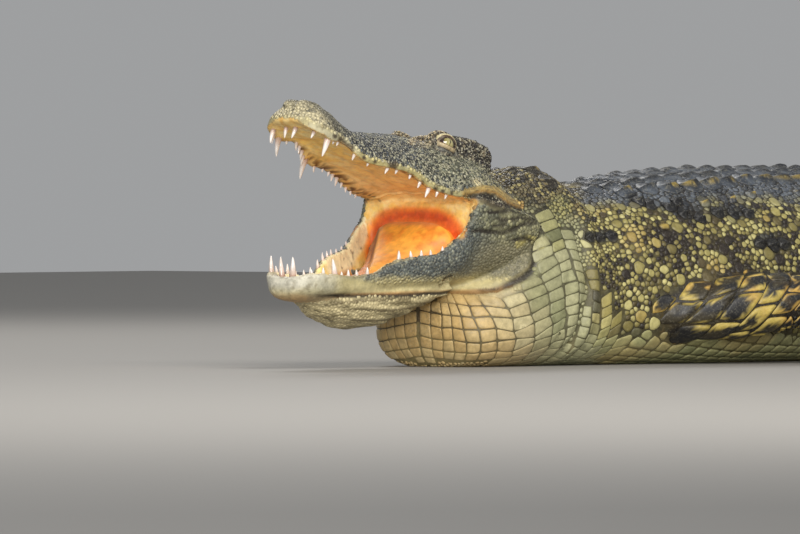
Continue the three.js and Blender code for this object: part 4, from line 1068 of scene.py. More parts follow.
    # --- the cheek: folds over the corner of the mouth, wrinkles and the bulge
    side_w = step(56, 74, np.abs(P[:, 1])) * np.isin(lab, (L_HEAD, L_JAW, L_BODY)) * (x > 250)
    mid_c = mix(tile(92, 92, 70), lin(144, 142, 104), step(0.34, 0.66, mott))
    midw = oval(u, w, 512, 222, 36, 22, 0.1, 0.45) * side_w * (w > 198)
    col = mix(col, mid_c, 0.75 * midw)
    col = mix(col, mix(tile(48, 36, 36), lin(98, 84, 66), step(0.6, 0.8, mott)), 0.85 * oval(u, w, 495, 202, 18, 6.5, 0.25, 0.4) * side_w)
    fold = near_line(u, w, FOLD, 2.4, 5.0) * side_w
    fold_y = w - np.interp(u, [466, 484, 497, 511, 522], [193, 189, 191, 202, 206])
    stripes = step(0.45, 0.95, np.sin(fold_y * 2.3 + 0.8 * (fine - 0.5)))
    col = mix(col, mix(mix(tile(216, 184, 108), lin(196, 148, 70), step(-1, 3, fold_y)), lin(112, 78, 40), 0.75 * stripes), 0.92 * fold)
    corner = near_line(u, w, CORNER, 3.0, 6.5) * side_w
    col = mix(col, mix(tile(222, 168, 74), lin(206, 128, 44), step(0.4, 0.7, fine)), 0.92 * corner * step(243, 236, w))
    col = mix(col, lin(186, 172, 92), 0.55 * near_line(u, w, [(520, 246), (528, 240), (538, 241), (543, 248)], 1.6, 5.0) * side_w)
    # cream bump on the cheek
    col = mix(col, lin(216, 202, 156), 0.8 * oval(u, w, 478, 183, 4.5, 3.6, 0.5, 0.5) * side_w)
    # behind the cheek it passes into the neck without a step
    ck = step(534, 546, u + 0.25 * (w - 240)) * np.isin(lab, (L_HEAD, L_JAW)) * (w > 196)
    col = mix(col, nk, ck)
    # --- the mouth's lining
    streak = fbm(P * [0.16, 0.7, 1], 7, 81, 3)
    mo = mix(tile(255, 214, 118), lin(255, 230, 158), step(0.38, 0.65, streak))
    mo = mix(mo, lin(244, 182, 84), 0.34 * step(0.56, 0.74, fbm(P * [0.14, 0.8, 1], 6, 83, 3)))
    far = step(-30, 50, P[:, 1])
    mo = mix(mo, lin(216, 124, 40), 0.26 * pal_w * (1 - step(0.03, 0.20, 1 - np.abs(a_) / np.maximum(H[1](np.clip(f, 0, 1)) * SKULL, 20))))
    mo = mix(mo, lin(255, 220, 160), 0.5 * pal_w * step(0.30, 0.62, f))
    # floor of the mouth, tongue with its pink rim, and the red fold over it
    floor_c = mix(tile(202, 118, 30), lin(160, 84, 20), step(0.45, 0.7, fbm(P, 12, 85, 3)))
    floor_w = (1 - pal_w) * (1 - tongue_w) * step(262, 240, x)
    mo = mix(mo, floor_c, 0.85 * floor_w)
    tg = mix(tile(240, 164, 58), lin(222, 132, 42), step(0.42, 0.68, fbm(P, 16, 87, 3)))
    tg = mix(tg, lin(224, 168, 96), 0.45 * step(232, 262, w) )
    tg = mix(tg, lin(226, 146, 98), 0.75 * np.exp(-((z - TZ(x)) / 4.0) ** 2) * step(268, 284, x))
    u_s = 286 + 0.44 * x - 0.525 * P[:, 1]
    lefte = np.interp(w, [226, 236, 248, 262, 275], [380, 377.5, 374.5, 371, 366])
    off_t = step(1.0, -2.0, u_s - lefte) * step(224, 228, w)
    tg = mix(tg, floor_c, 0.9 * off_t)
    # painted shade: a dark line along the tongue's left edge, where it stands over the lower floor
    tg = mix(tg, lin(108, 40, 10), 0.75 * np.exp(-((u_s - lefte + 0.6) / 1.3) ** 2) * step(226, 231, w) * step(268, 258, w))
    red = near_line(u_s, w + 2.5 * (streak - 0.5), REDFOLD, 6.0, 13.5) * (1 - pal_w) * step(246, 258, x)
    rline = near_line(u_s, w + 1.5 * (streak - 0.5), REDFOLD, 1.5, 9.0)
    rc = mix(tile(246, 140, 48), lin(212, 66, 12), rline)
    rc = mix(rc, lin(240, 112, 36), 0.4 * step(0.45, 0.7, fbm(P * [1, 0.25, 1], 5, 84, 2)))
    mo = mix(mo, rc, 0.92 * red)
    mo = mix(mo, lin(246, 184, 100), 0.9 * step(207, 199, w) * step(250, 275, x) * (1 - pal_w))
    # the far rail of the lower jaw is cream, its gum mottled
    rail = step(31, 17, rim - z) * (x > 14) * (x < 300) * (1 - tongue_w) * (1 - pal_w) * step(10, 26, np.abs(P[:, 1]))
    mo = mix(mo, mix(tile(250, 241, 196), lin(238, 216, 140), step(0.45, 0.75, med)), 0.95 * rail)
    mo = mix(mo, lin(84, 52, 30), 0.7 * rail * step(0.74, 0.80, fbm(P, 7, 92, 2)))
    mo = mix(mo, tg, tongue_w * step(304, 294, x + 0.0 * z))
    # gums of the upper jaw: cream scallops, with the sockets' pits painted dark maroon as painted shade, and dark spots
    # further back
    outer = step(0.66, 0.84, np.abs(a_) / np.maximum(H[1](np.clip(f, -0.01, 1)) * SKULL, 12)) * pal_w
    outer = np.maximum(outer, pal_w * (1 - step(0.006, 0.030, f)))
    gum = np.maximum(gum_w * 0.75, outer)
    mo = mix(mo, mix(tile(214, 186, 124), lin(206, 160, 84), step(0.4, 0.7, fine)), 0.85 * gum * (1 - step(0.70, 0.84, f) * 0.6))
    mo = mix(mo, lin(72, 32, 20), 0.85 * gum * np.maximum(pit_shade, step(0.60, 0.68, fbm(P, 7.5, 91, 2)) * step(0.10, 0.16, f)))
    col = mix(col, mo, inner)
    return np.clip(col, 0, 1)


TZ = curve(TONGUE, 2)
inner_f = net.blur(mask(L_PALATE, L_GUM, L_FLOOR, L_TONGUE), 1)
inner_s = step(0.25, 0.75, inner_f)
SKIN_RND = noise(V, 4.2, 7)
SKIN_COL = markings(V, LAB, T, TH, SKIN_RND, S_, A_, V_, inner_s, net.blur(mask(L_TONGUE), 2), net.blur(mask(L_PALATE, L_GUM), 2),
                    net.blur(mask(L_GUM), 1))
# Between the scales the skin is darker: black-brown on the flank and legs
groove = np.full(len(V), 0.0)
body_dark = mask(L_BODY) * step(560, 620, T)
GROOVE_COL = mix(np.tile(lin(66, 62, 42), (len(V), 1)), lin(30, 25, 20), np.clip(body_dark + mask(L_FORE, L_HIND, L_FOOT, L_TOE) + mask(L_BODY) * step(1.25, 1.0, TH), 0, 1))
GROOVE_COL = mix(GROOVE_COL, lin(118, 108, 70), mask(L_BODY) * step(2.0, 2.4, TH))
gw = net.blur(np.where(mask(L_FORE, L_HIND) > 0, 0.97, np.where(mask(L_BODY, L_FOOT, L_TOE) > 0, 0.85, np.where(mask(L_HEAD) > 0, 0.45, 0.25))), 3) * (1 - inner_s)
_u, _w = chart(V)
gw = gw * (1 - 0.80 * near_line(_u, _w, list(zip(*JAW_EDGE)), 5, 13) * mask(L_BODY) * (_w > 236) * (np.abs(V[:, 1]) > 30))
SKIN_COL = mix(SKIN_COL, GROOVE_COL, gw)
# painted shade: the skin along the cheek's creases and the ear's crease is darkened almost to black, where shade falls
# in them
SKIN_COL = mix(SKIN_COL, lin(38, 33, 26), 0.95 * np.clip(1.3 * crease_shade, 0, 1) * (1 - inner_s))
SPECK = net.blur(mask(L_HEAD) * 0.90 + mask(L_JAW) * 0.42 + mask(L_BODY) * 0.2 + mask(L_FORE, L_HIND) * 0.3, 3) * (1 - inner_s)
SPECK = SPECK * (1 - 0.45 * (1 - step(0.10, 0.24, S_ / SKULL)) * mask(L_HEAD))
lip_here = mask(L_HEAD) * (1 - step(0.8, 1.2, (V_ - H[3](np.clip(S_ / SKULL, 0, 0.96)) * SKULL)
                                     / (12.0 - 4.0 * step(0.08, 0.26, S_ / SKULL) + 5.0 * step(0.60, 0.86, S_ / SKULL)))) * (S_ < 0.9 * SKULL)
SPECK = SPECK * (1 - 0.85 * lip_here) * (1 - 0.7 * mask(L_JAW) * step(0, 8, _w - np.interp(_u, [300, 345, 380, 430, 470, 530], [262, 270, 281, 279, 277, 279])))
SPECK = SPECK * (1 - 0.60 * step(462, 490, _u + 0.4 * (_w - 230)) * (_w > 205))
SPECK = SPECK * (1 - 0.8 * near_line(_u, _w, FOLD, 3, 7)) * (1 - 0.8 * near_line(_u, _w, CORNER, 3, 7))
say("markings")

# ------------------------------------------------------------------ scales
# Every scale starts as a seed on the skin. Kinds differ in what they stand
# for; a seed has a place, a normal, a lie, a size and its own proportions.
KIND_SMALL, KIND_PLATE, KIND_SCUTE = 0, 1, 2
seeds = dict(p=[], n=[], d=[], rho=[], kind=[], h=[], gap=[], tilt=[], keel=[], cap=[], v=[], box=[], fence=[])


def skin_hits(P):
    pos, nor, vi = np.empty((len(P), 3)), np.empty((len(P), 3)), np.empty(len(P), int)
    for i, p in enumerate(P):
        c, n, f, d = skin_bvh.find_nearest(p)
        pos[i] = c
        q = Q[f]
        w = 1.0 / (np.linalg.norm(V[q] - np.array(c), axis=1) + 1e-3)
        nor[i] = w @ N[q]
        vi[i] = q[w.argmax()]
    return pos, unit(nor), vi


def add_seeds(P, rho, kind, h, gap, tilt=0.0, keel=0.0, cap=1.3, ok_labels=None, d=None, reach=14.0, box=None,
              fence=0.92):
    P = np.atleast_2d(P)
    pos, nor, vi = skin_hits(P)
    ok = np.linalg.norm(pos - P, axis=1) < reach
    if ok_labels is not None:
        ok &= np.isin(LAB[vi], ok_labels)
    ok &= inner_s[vi] < 0.3
    dd = DIR[vi] if d is None else np.broadcast_to(d, P.shape)
    full = lambda v: np.broadcast_to(np.asarray(v, float), (len(P),))[ok]
    for k, val in (("p", pos[ok]), ("n", nor[ok]), ("d", dd[ok]), ("rho", full(rho)), ("kind", full(kind)),
                   ("h", full(h)), ("gap", full(gap)), ("tilt", full(tilt)), ("keel", full(keel)), ("cap", full(cap)),
                   ("v", vi[ok]), ("fence", full(fence)),
                   ("box", np.full((ok.sum(), 4, 3), np.nan) if box is None else box[ok])):
        seeds[k].append(np.array(val))
    return ok


# Girth of the body from the top, to set rows of scales by their true width
_th = np.linspace(0, math.pi, 91)


def girth(t):
    p = body_point(np.full(91, t), _th)
    g = np.concatenate([[0], np.cumsum(np.linalg.norm(np.diff(p, axis=0), axis=1))])
    return g


def ring_of(t, g_list, sg):
    g = girth(t)
    th = np.interp(g_list, g, _th)
    return body_point(np.full(len(th), t), sg * th), th, g


shield_half = curve([[560, 40], [640, 62], [700, 96], [850, 118], [1150, 118], [1350, 98], [1480, 68], [1600, 52],
                     [2100, 34], [2200, 0]], 1)
# back shield: rows of keeled scutes, 44 mm apart
row = 0
for t in np.arange(648, 1440, 44.0):
    half = float(shield_half(t))
    n = 3 if half > 88 else 2
    w = half / n
    for sg in (-1, 1):
        g = (np.arange(n) + 0.5) * w
        P, th, _ = ring_of(t, g, sg)
        P = P + RNG.normal(0, 0.8, P.shape) * [1, 1, 0]
        keel = np.where(np.arange(n) == n - 1, 9.5, 5.0) * (0.8 + 0.4 * RNG.random(n))
        add_seeds(P, w * 0.56, KIND_SCUTE, 2.4, 0.9, 0.15, keel, 1.5, (L_BODY,))
    row += 1
# nuchal cluster and the four scutes behind the skull
for t, gs, r in ((497, (17, 43), 10.0), (540, (21, 60), 19.0), (582, (19,), 17.0)):
    for sg in (-1, 1):
        P, th, _ = ring_of(t, np.array(gs, float), sg)
        add_seeds(P, r, KIND_SCUTE, 2.6, 0.9, 0.2, 0.30 * r, 1.1, (L_BODY, L_HEAD), reach=40)
# scattered keeled scutes along the upper flank and shoulder
for t0, g0, dt in ((668, 136, 0), (760, 150, 0), (850, 158, 0)):
    pass
for cu, cw, ru, rw, tl_ in BLACK_KEELS:
    # the black keels of the neck, shoulder and upper flank
    for sg in (-1, 1):
        for q in (-0.55, 0.1, 0.7):
            gu, gw = cu + q * ru * math.cos(tl_), cw + q * ru * math.sin(tl_)
            zz = (370 - gw) * 1.46
            aa = 150.0
            for _ in range(12):
                tt = (gu - 286 - 0.525 * aa) / 0.44
                ths = np.linspace(0.2, 1.6, 60)
                pp = body_point(np.full(60, tt), ths)
                aa = abs(pp[np.abs(pp[:, 2] - zz).argmin(), 1])
            add_seeds(pp[[np.abs(pp[:, 2] - zz).argmin()]] * [1, sg, 1], 9.5 + 0.25 * rw, KIND_SCUTE, 2.4, 0.8, 0.1, 5.0 + 0.3 * rw, 1.5, (L_BODY,))
for t in np.arange(700, 1420, 58.0):
    for sg in (-1, 1):
        half = float(shield_half(t))
        for off, kk in ((26, 7.5), (66, 3.5)):
            tt = t + RNG.uniform(-14, 14)
            P, th, _ = ring_of(tt, np.array([half + off + RNG.uniform(-5, 5)]), sg)
            add_seeds(P, 12.5 if off == 30 else 9.5, KIND_SCUTE, 2.4, 1.0, 0.1, kk * RNG.uniform(0.7, 1.2), 1.15, (L_BODY,))

# Throat and neck: a net of four-sided scales. The rows climb backward along
# the jaw's edge and level out on the neck, where they stand in columns.
_nt = np.arange(190.0, 700.0, 1.0)
_pitch = np.interp(_nt, [190, 320, 360, 420, 470, 520, 570, 620, 700], [24, 25, 30, 33, 27, 20, 21, 29, 36])
T_ROUND = 357.0
_ph = np.linspace(0, math.pi / 2, 200)
_ox, _oy = 56 * np.sin(_ph) ** (2 / 2.6), 116 * np.cos(_ph) ** (2 / 2.6)
_os = np.concatenate([[0], np.cumsum(np.hypot(np.diff(_ox), np.diff(_oy)))])
_col = np.concatenate([[0], np.cumsum(1.0 / _pitch[:-1])])


def net_place(i, j, sg):
    """Point of the net: i rows up from the belly's middle, j columns back."""
    i, j = np.asarray(i, float), np.asarray(j, float)
    t0 = np.interp(j, _col, _nt)
    t = t0 - 5.5 * (i - 6) * (1 - step(400, 560, t0)) * step(220, 340, t0)
    row_h = np.interp(t0, [300, 440, 560, 640], [18.0, 17.5, 16.5, 25.0])
    h = row_h * i + 0.42 * (np.minimum(t, 500) - 420) - 0.12 * np.maximum(0, 560 - np.abs(t - 560)) * 0
    g_all = np.array([girth(q)[-1] for q in np.arange(290, 720, 10.0)])
    G = np.interp(t, np.arange(290, 720, 10.0), g_all)
    th = np.empty(len(t))
    for k, (tt, gg) in enumerate(zip(t, G - h)):
        th[k] = np.interp(gg, GIRTHS[int(np.clip((tt - 290) // 10, 0, 42))], _th)
    P = body_point(np.maximum(t, 300.0), sg * th)
    fr = t < T_ROUND
    if fr.any():
        # in front of that the rows run on round the throat's blunt end
        hr = row_h[fr] * i[fr] + np.interp(t[fr], [212, 250, 300, 330, T_ROUND], [-24, -29, -33, -32, 0.42 * (T_ROUND - 420)])
        k0 = int((T_ROUND - 290) // 10)
        thr_ = np.interp(GIRTHS[k0][-1] - hr, GIRTHS[k0], _th)
        zz = body_point(np.full(fr.sum(), T_ROUND), thr_)[:, 2]
        ss = np.clip(T_ROUND - t[fr], 0, _os[-1])
        dx, dy = np.interp(ss, _os, _ox), np.interp(ss, _os, _oy)
        R_ = np.full((fr.sum(), 3), 1e4)
        for k, (z_, a_, b_) in enumerate(zip(zz, dx, dy)):
            if z_ > 4:
                c, n_, f_, d_ = skin_bvh.ray_cast(Vector((T_ROUND - SNOUT, 0, z_)), Vector((-a_, sg * b_, 0)).normalized())
                if c is not None and d_ < 150:
                    R_[k] = c
        P[fr] = R_
        th[fr] = thr_
    return P, t, th, h


GIRTHS = [girth(q) for q in np.arange(290, 720, 10.0)]
jj = np.arange(0, int(_col[-1]))
ii = np.arange(-6, 26)
I0, J0 = [q.ravel() for q in np.meshgrid(ii, jj, indexing="ij")]
for sg in (-1, 1):
    brick = 0.5 * (J0 % 2) * step(470, 520, np.interp(J0, _col, _nt))
    wob = lambda a, b, k: (_cell(a.astype(int) + 50, b.astype(int) + 50, np.full(len(a), k + (sg > 0)), 5) - 0.5)
    C, t_, th_, h_ = net_place(I0 + 0.5 + brick, J0 + 0.5, sg)
    corners = []
    for di, dj in ((0, 0), (0, 1), (1, 1), (1, 0)):
        bi, bj = I0 + di, J0 + dj
        P, *_ = net_place(bi + brick + 0.13 * wob(bi, bj, 3), bj + 0.16 * wob(bi, bj, 7), sg)
        corners.append(P)
    box = np.stack(corners, 1)
    u_, w_ = chart(C)
    top = np.where(t_ < 430, 0.45, np.where(t_ < 500, 0.8, 0.92))
    okk = (h_ > 3) & (t_ > T_ROUND - _os[-1] + 5) & (th_ > top) & (t_ < 655) & (C[:, 2] < 262)
    okk &= (np.abs(box).max((1, 2)) < 5000) & ((t_ > T_ROUND) | (C[:, 2] > 8))
    okk &= np.linalg.norm(box - np.roll(box, 1, 1), axis=2).max(1) < 85
    # the shoulder's granules take over behind a slanting line
    okk &= (u_ < 590 + 0.55 * np.maximum(0, w_ - 262)) & ((u_ < 600) | (w_ > 292))
    okk &= w_ > np.interp(u_, JAW_EDGE[0] + [550], [q + 4 for q in JAW_EDGE[1]] + [190])
    add_seeds(C[okk], np.interp(t_[okk], [300, 440, 560, 640], [11, 10.5, 8.2, 12.5]), KIND_PLATE, 1.5, 0.5, 0.08, 0, 2.6,
              (L_BODY, L_POUCH, L_JAW), box=box[okk], fence=1.25, reach=24.0)

# belly: square scales in straight rows
t = 640.0
while t < 1430:
    g_all = girth(t)
    G = g_all[-1]
    lo = np.interp(2.02, _th, g_all)
    gs = np.arange(G - 12, lo, -24.0)
    for sg in (-1, 1):
        P, th, _ = ring_of(t, gs, sg)
        add_seeds(P + RNG.normal(0, 0.6, P.shape), 14.0, KIND_PLATE, 2.0, 0.8, 0.12, 0, 1.6, (L_BODY,))
    t += 27.0

# tail: whorls of oblong scutes
t = 1446.0
k = 0
while t < 3036:
    g_all = girth(t)
    G = g_all[-1]
    pt = float(np.interp(t, [1440, 2200, 3036], [33, 30, 17]))
    n = max(3, int(round(G / np.interp(t, [1440, 2000, 3036], [25, 19, 9]))))
    gs = (np.arange(n) + 0.5) * G / n
    for sg in (-1, 1):
        P, th, _ = ring_of(t, gs, sg)
        sh = float(shield_half(t)) if t < 2200 else 0
        keel = np.where((gs < sh) & (t < 1800), 6.0, 0.0) + np.where(gs >= sh, 1.2, 0)
        add_seeds(P + RNG.normal(0, 0.5, P.shape), min(G / n, pt) * 0.55, KIND_PLATE, float(np.interp(t, [1440, 3036], [2.3, 1.3])),
                  0.9, 0.22, keel, 1.9, (L_BODY,))
    t += pt
    k += 1

# limbs: slanting bands of large overlapping scales on the upper parts
def limb_place(leg, run, srun, phv, slant):
    """Point of a limb's net: distance along it and angle round it."""
    R, side, top, tan = leg["spine"], leg["side"], leg["top"], leg["tan"]
    at = lambda A: np.stack([np.interp(srun, run, A[:, j]) for j in range(3)], -1)
    c, e1_, e2_ = at(R[:, :3]), at(side), at(top)
    w_, h_ = np.interp(srun, run, R[:, 3]), np.interp(srun, run, R[:, 4])
    tg = at(tan)
    return (c + e1_ * (w_ * np.cos(phv))[:, None] + e2_ * (h_ * np.sin(phv))[:, None]
            + tg * (slant * np.cos(phv - math.pi / 2))[:, None]), tg


for name, leg in LEGS.items():
    R = leg["spine"]
    run = np.concatenate([[0], np.cumsum(np.linalg.norm(np.diff(R[:, :3], axis=0), axis=1))])
    Ltot = run[-1]
    s = 8.0
    k = 0
    while s < Ltot - 16:
        u = s / Ltot
        pt = float(np.interp(u, [0, 0.2, 0.55, 0.75, 1], [38, 46, 38, 17, 11]))
        m = s + pt / 2
        w, h = np.interp(m, run, R[:, 3]), np.interp(m, run, R[:, 4])
        G = math.pi * (3 * (w + h) - math.sqrt((3 * w + h) * (w + 3 * h)))
        n = max(6, int(round(G / np.interp(u, [0, 0.2, 0.55, 0.8, 1], [40, 48, 40, 20, 12]))))
        ph = (np.arange(n) + (0.5 if k % 2 else 0)) * 2 * math.pi / n
        dph = math.pi / n
        slant = pt * 1.1
        P, tg = limb_place(leg, run, np.full(n, m), ph, slant)
        cs = []
        for ds, dp in ((-0.5, -1), (0.5, -1), (0.5, 1), (-0.5, 1)):
            kk_ = k + (1 if ds > 0 else 0)
            ka_ = ((np.arange(n) + (1 if dp > 0 else 0)) % n).astype(int)
            jit = _cell(ka_, np.full(n, kk_ + 9), np.full(n, 31), 5) - 0.5
            jit2 = _cell(ka_, np.full(n, kk_ + 9), np.full(n, 37), 5) - 0.5
            cs.append(limb_place(leg, run, m + ds * pt + 0.24 * pt * jit, ph + dp * dph + 0.5 * dph * jit2, slant)[0])
        add_seeds(P, min(pt, G / n) * 0.56, KIND_PLATE, float(np.interp(u, [0, 0.6, 1], [3.0, 2.8, 1.8])),
                  float(np.interp(u, [0, 0.6, 1], [0.9, 0.8, 0.5])), 0.85, 0, 2.2, (L_FORE, L_HIND), d=unit(tg), reach=9,
                  box=np.stack(cs, 1), fence=1.15)
        s += pt
        k += 1

# flank: large round scales, well apart
t = 606.0
k = 0
while t < 1440:
    g_all = girth(t)
    sh = float(shield_half(t))
    lo, hi = sh + 14, np.interp(2.05, _th, g_all)
    pg = 25.0
    gs = np.arange(lo, hi, pg)
    for sg in (-1, 1):
        g = gs + (pg * 0.5 if k % 2 else 0) + RNG.uniform(-6, 6, len(gs))
        tt = t + RNG.uniform(-7, 7, len(g))
        keepit = RNG.random(len(g)) < 0.74
        P = np.array([ring_of(a, np.array([b]), sg)[0][0] for a, b in zip(tt[keepit], g[keepit])])
        if len(P):
            r = RNG.uniform(0, 1, len(P)) ** 1.6 * 6.0 + 4.2
            uu, ww = chart(P)
            okk = (t > 650) | (uu > 594)
            add_seeds(P[okk], r[okk], KIND_PLATE, 1.2, 0.35, 0.0, 0, 1.3, (L_BODY,), reach=10)
    t += 23.0
    k += 1
say("rows of scales", sum(len(a) for a in seeds["p"]))

S = {k: np.concatenate(v) for k, v in seeds.items()}
# A row's seed that fell on a neighbour's is dropped.
kd = KDTree(len(S["p"]))
for i, p in enumerate(S["p"]):
    kd.insert(p, i)
kd.balance()
drop = np.zeros(len(S["p"]), bool)
BOXED = np.isfinite(S["box"][:, 0, 0])
prio = S["kind"] * 100 + S["rho"]
for i, p in enumerate(S["p"]):
    for _, j, d in kd.find_range(p, 1.15 * S["rho"][i]):
        both = BOXED[i] and BOXED[j]
        if j != i and not drop[j] and not drop[i] and d < (0.32 if both else 0.50) * (S["rho"][i] + S["rho"][j]):
            if (prio[j], j) < (prio[i], i):
                drop[j] = True
            else:
                drop[i] = True
S = {k: v[~drop] for k, v in S.items()}
say("kept", len(S["p"]))

# The rest of the skin is filled by small scales, placed as they fit.
RAD = np.full(len(V), 3.9)
RAD[(T > 1000) & (TH < 2.0)] = 4.3
RAD[mask(L_HEAD) > 0] = 2.45
RAD[mask(L_JAW) > 0] = 2.6
RAD[mask(L_POUCH) > 0] = 2.6
RAD[mask(L_FOOT) > 0] = 3.3
RAD[mask(L_TOE) > 0] = 2.7
RAD[(LAB == L_BODY) & (T < 600)] = 3.0
RAD[(LAB == L_BODY) & (T > 640) & (TH > 2.0)] = 5.5
RAD[(LAB == L_BODY) & (T > 1440)] = 5.0
RAD[(LAB == L_BODY) & (T > 2500)] = 3.5
RAD[(LAB == L_FORE) | (LAB == L_HIND)] = 4.4
RAD = net.blur(RAD, 2)
tri = np.vstack([Q[:, [0, 1, 2]], Q[:, [0, 2, 3]]])
area = np.linalg.norm(np.cross(V[tri[:, 1]] - V[tri[:, 0]], V[tri[:, 2]] - V[tri[:, 0]]), axis=1) / 2
ok_tri = (inner_s[tri].max(1) < 0.35)
eye_far = np.ones(len(V), bool)
for e in EYES.values():
    d = V - e["c"]
    lens = np.sqrt((d @ e["fwd"] / 23) ** 2 + (d @ e["up"] / 16) ** 2)
    eye_far &= ~((lens < 1.0) & (d @ e["out"] > 0))
ok_tri &= eye_far[tri].all(1)
_cu, _cw = chart(V)
bare = np.maximum(lip_here, near_line(_cu, _cw, FOLD, 3.5, 6.5) * (np.abs(V[:, 1]) > 60) * mask(L_HEAD, L_JAW))
bare = np.maximum(bare, near_line(_cu, _cw, CORNER, 4, 7) * mask(L_HEAD, L_JAW))
bare = np.maximum(bare, mask(L_JAW) * (1 - step(336, 356, _cu)))
bare = np.maximum(bare, mask(L_JAW) * step(1, 5, _cw - np.interp(_cu, [300, 345, 380, 430, 470, 530], [262, 270, 281, 279, 277, 279])))
bare = np.maximum(bare, 1.7 * np.clip(crease_shade, 0, 1) * mask(L_HEAD, L_JAW))
_edge_j = np.interp(_cu, *JAW_EDGE)
bare = np.maximum(bare, mask(L_BODY) * (_cw > _edge_j - 3) * (_cw < _edge_j + 6) * (_cu > 440) * (_cu < 546) * (np.abs(V[:, 1]) > 60))
bare = np.maximum(bare, mask(L_JAW, L_POUCH) * (_cw > _edge_j - 8) * (_cw < _edge_j + 1.5) * (np.abs(V[:, 1]) > 30))
ok_tri &= net.blur(bare, 1)[tri].mean(1) < 0.5
w = area / RAD[tri].mean(1) ** 2 * ok_tri
n_try = int(w.sum() / (math.pi * 0.20))
pick = RNG.choice(len(tri), n_try, p=w / w.sum())
r1, r2 = np.sqrt(RNG.random(n_try)), RNG.random(n_try)
bar = np.stack([1 - r1, r1 * (1 - r2), r1 * r2], -1)
CP_ = (V[tri[pick]] * bar[..., None]).sum(1)
CR_ = (RAD[tri[pick]] * bar).sum(1)
CN_ = unit((N[tri[pick]] * bar[..., None]).sum(1))
CV_ = tri[pick][np.arange(n_try), bar.argmax(1)]
CELLW = 12.0
bins = {}
for p, r, fen, b0 in zip(S["p"], S["rho"], S["fence"], S["box"][:, 0, 0]):
    if math.isfinite(b0):
        continue
    R_ = max(r, 1.0)
    kk = int(R_ * fen / 0.92 // CELLW) + 1
    c = (int(p[0] // CELLW), int(p[1] // CELLW), int(p[2] // CELLW))
    for dx in range(-kk, kk + 1):
        for dy in range(-kk, kk + 1):
            for dz in range(-kk, kk + 1):
                bins.setdefault((c[0] + dx, c[1] + dy, c[2] + dz), []).append((p[0], p[1], p[2], R_ * fen))
for bx in S["box"][np.isfinite(S["box"][:, 0, 0])]:
    # a four-sided scale is fenced round each of its four quarters
    m = bx.mean(0)
    rr_ = 0.22 * min(np.linalg.norm(bx[0] - bx[1]), np.linalg.norm(bx[1] - bx[2])) + 1.2
    grid_ = [(a_ * b_, (1 - a_) * b_, (1 - a_) * (1 - b_), a_ * (1 - b_)) for a_ in (0.06, 0.28, 0.5, 0.72, 0.94) for b_ in (0.06, 0.28, 0.5, 0.72, 0.94)]
    for q in np.array(grid_) @ bx:
        c = (int(q[0] // CELLW), int(q[1] // CELLW), int(q[2] // CELLW))
        for dx in (-1, 0, 1):
            for dy in (-1, 0, 1):
                for dz in (-1, 0, 1):
                    bins.setdefault((c[0] + dx, c[1] + dy, c[2] + dz), []).append((q[0], q[1], q[2], rr_))
small = {}
keep = []
cells = np.floor(CP_ / CELLW).astype(int).tolist()
pts, rads = CP_.tolist(), CR_.tolist()
for i in range(n_try):
    x, y, z = pts[i]
    r = rads[i]
    c = tuple(cells[i])
    good = True
    for (bx, by, bz, br) in bins.get(c, ()):
        rr = br + r
        if (bx - x) ** 2 + (by - y) ** 2 + (bz - z) ** 2 < rr * rr:
            good = False
            break
    if not good:
        continue
    for (bx, by, bz, br) in small.get(c, ()):
        rr = (br + r) * 0.80
        if (bx - x) ** 2 + (by - y) ** 2 + (bz - z) ** 2 < rr * rr:
            good = False
            break
    if not good:
        continue
    keep.append(i)
    e = (x, y, z, r)
    # entered in each cell it can reach
    reach = r * 1.9
    for cx in range(int((x - reach) // CELLW), int((x + reach) // CELLW) + 1):
        for cy in range(int((y - reach) // CELLW), int((y + reach) // CELLW) + 1):
            for cz in range(int((z - reach) // CELLW), int((z + reach) // CELLW) + 1):
                small.setdefault((cx, cy, cz), []).append(e)
keep = np.array(keep)
nk_ = len(keep)
lv = LAB[CV_[keep]]
hgt = np.where(lv == L_HEAD, 0.50, np.where(lv == L_JAW, 0.35, np.where(lv == L_POUCH, 0.16, 1.1)))
hgt = np.where((lv == L_BODY) & (T[CV_[keep]] > 560), 1.0, hgt)
hgt = np.where(lv == L_JAW, 0.25, hgt)
hgt = np.where((lv == L_HEAD) & (S_[CV_[keep]] < 0.22 * SKULL), 0.32, hgt)
hgt = np.where(np.isin(lv, (L_FORE, L_HIND)), 1.8, hgt)
gap = np.where(np.isin(lv, (L_HEAD, L_JAW)), 0.20, 0.26)
add = dict(p=CP_[keep], n=CN_[keep], d=DIR[CV_[keep]], rho=CR_[keep], kind=np.zeros(nk_), h=hgt, gap=gap,
           tilt=np.where(np.isin(lv, (L_HEAD, L_JAW, L_POUCH)), 0.0, 0.25), keel=np.zeros(nk_), cap=np.full(nk_, 1.55), v=CV_[keep],
           box=np.full((nk_, 4, 3), np.nan), fence=np.full(nk_, 1.0))
S = {k: np.concatenate([S[k], add[k]]) for k in S}
say("all scales", len(S["p"]), "tries", n_try)

# ---------------------------------------------------------- plates of scale
n_s = len(S["p"])
e1 = S["d"] - (S["d"] * S["n"]).sum(1, keepdims=True) * S["n"]
bad = np.linalg.norm(e1, axis=1) < 0.2
e1[bad] = np.cross(S["n"][bad], [0, 0, 1.0])
e1 = unit(e1)
e2 = np.cross(S["n"], e1)
K = 15
kd = KDTree(n_s)
for i, p in enumerate(S["p"]):
    kd.insert(p, i)
kd.balance()
NB = np.zeros((n_s, K), int)
for i, p in enumerate(S["p"]):
    f = kd.find_n(p, K + 1)
    NB[i, :] = [q[1] for q in f if q[1] != i][:K] if len(f) > K else 0
say("neighbours")


PHASE = 0.12


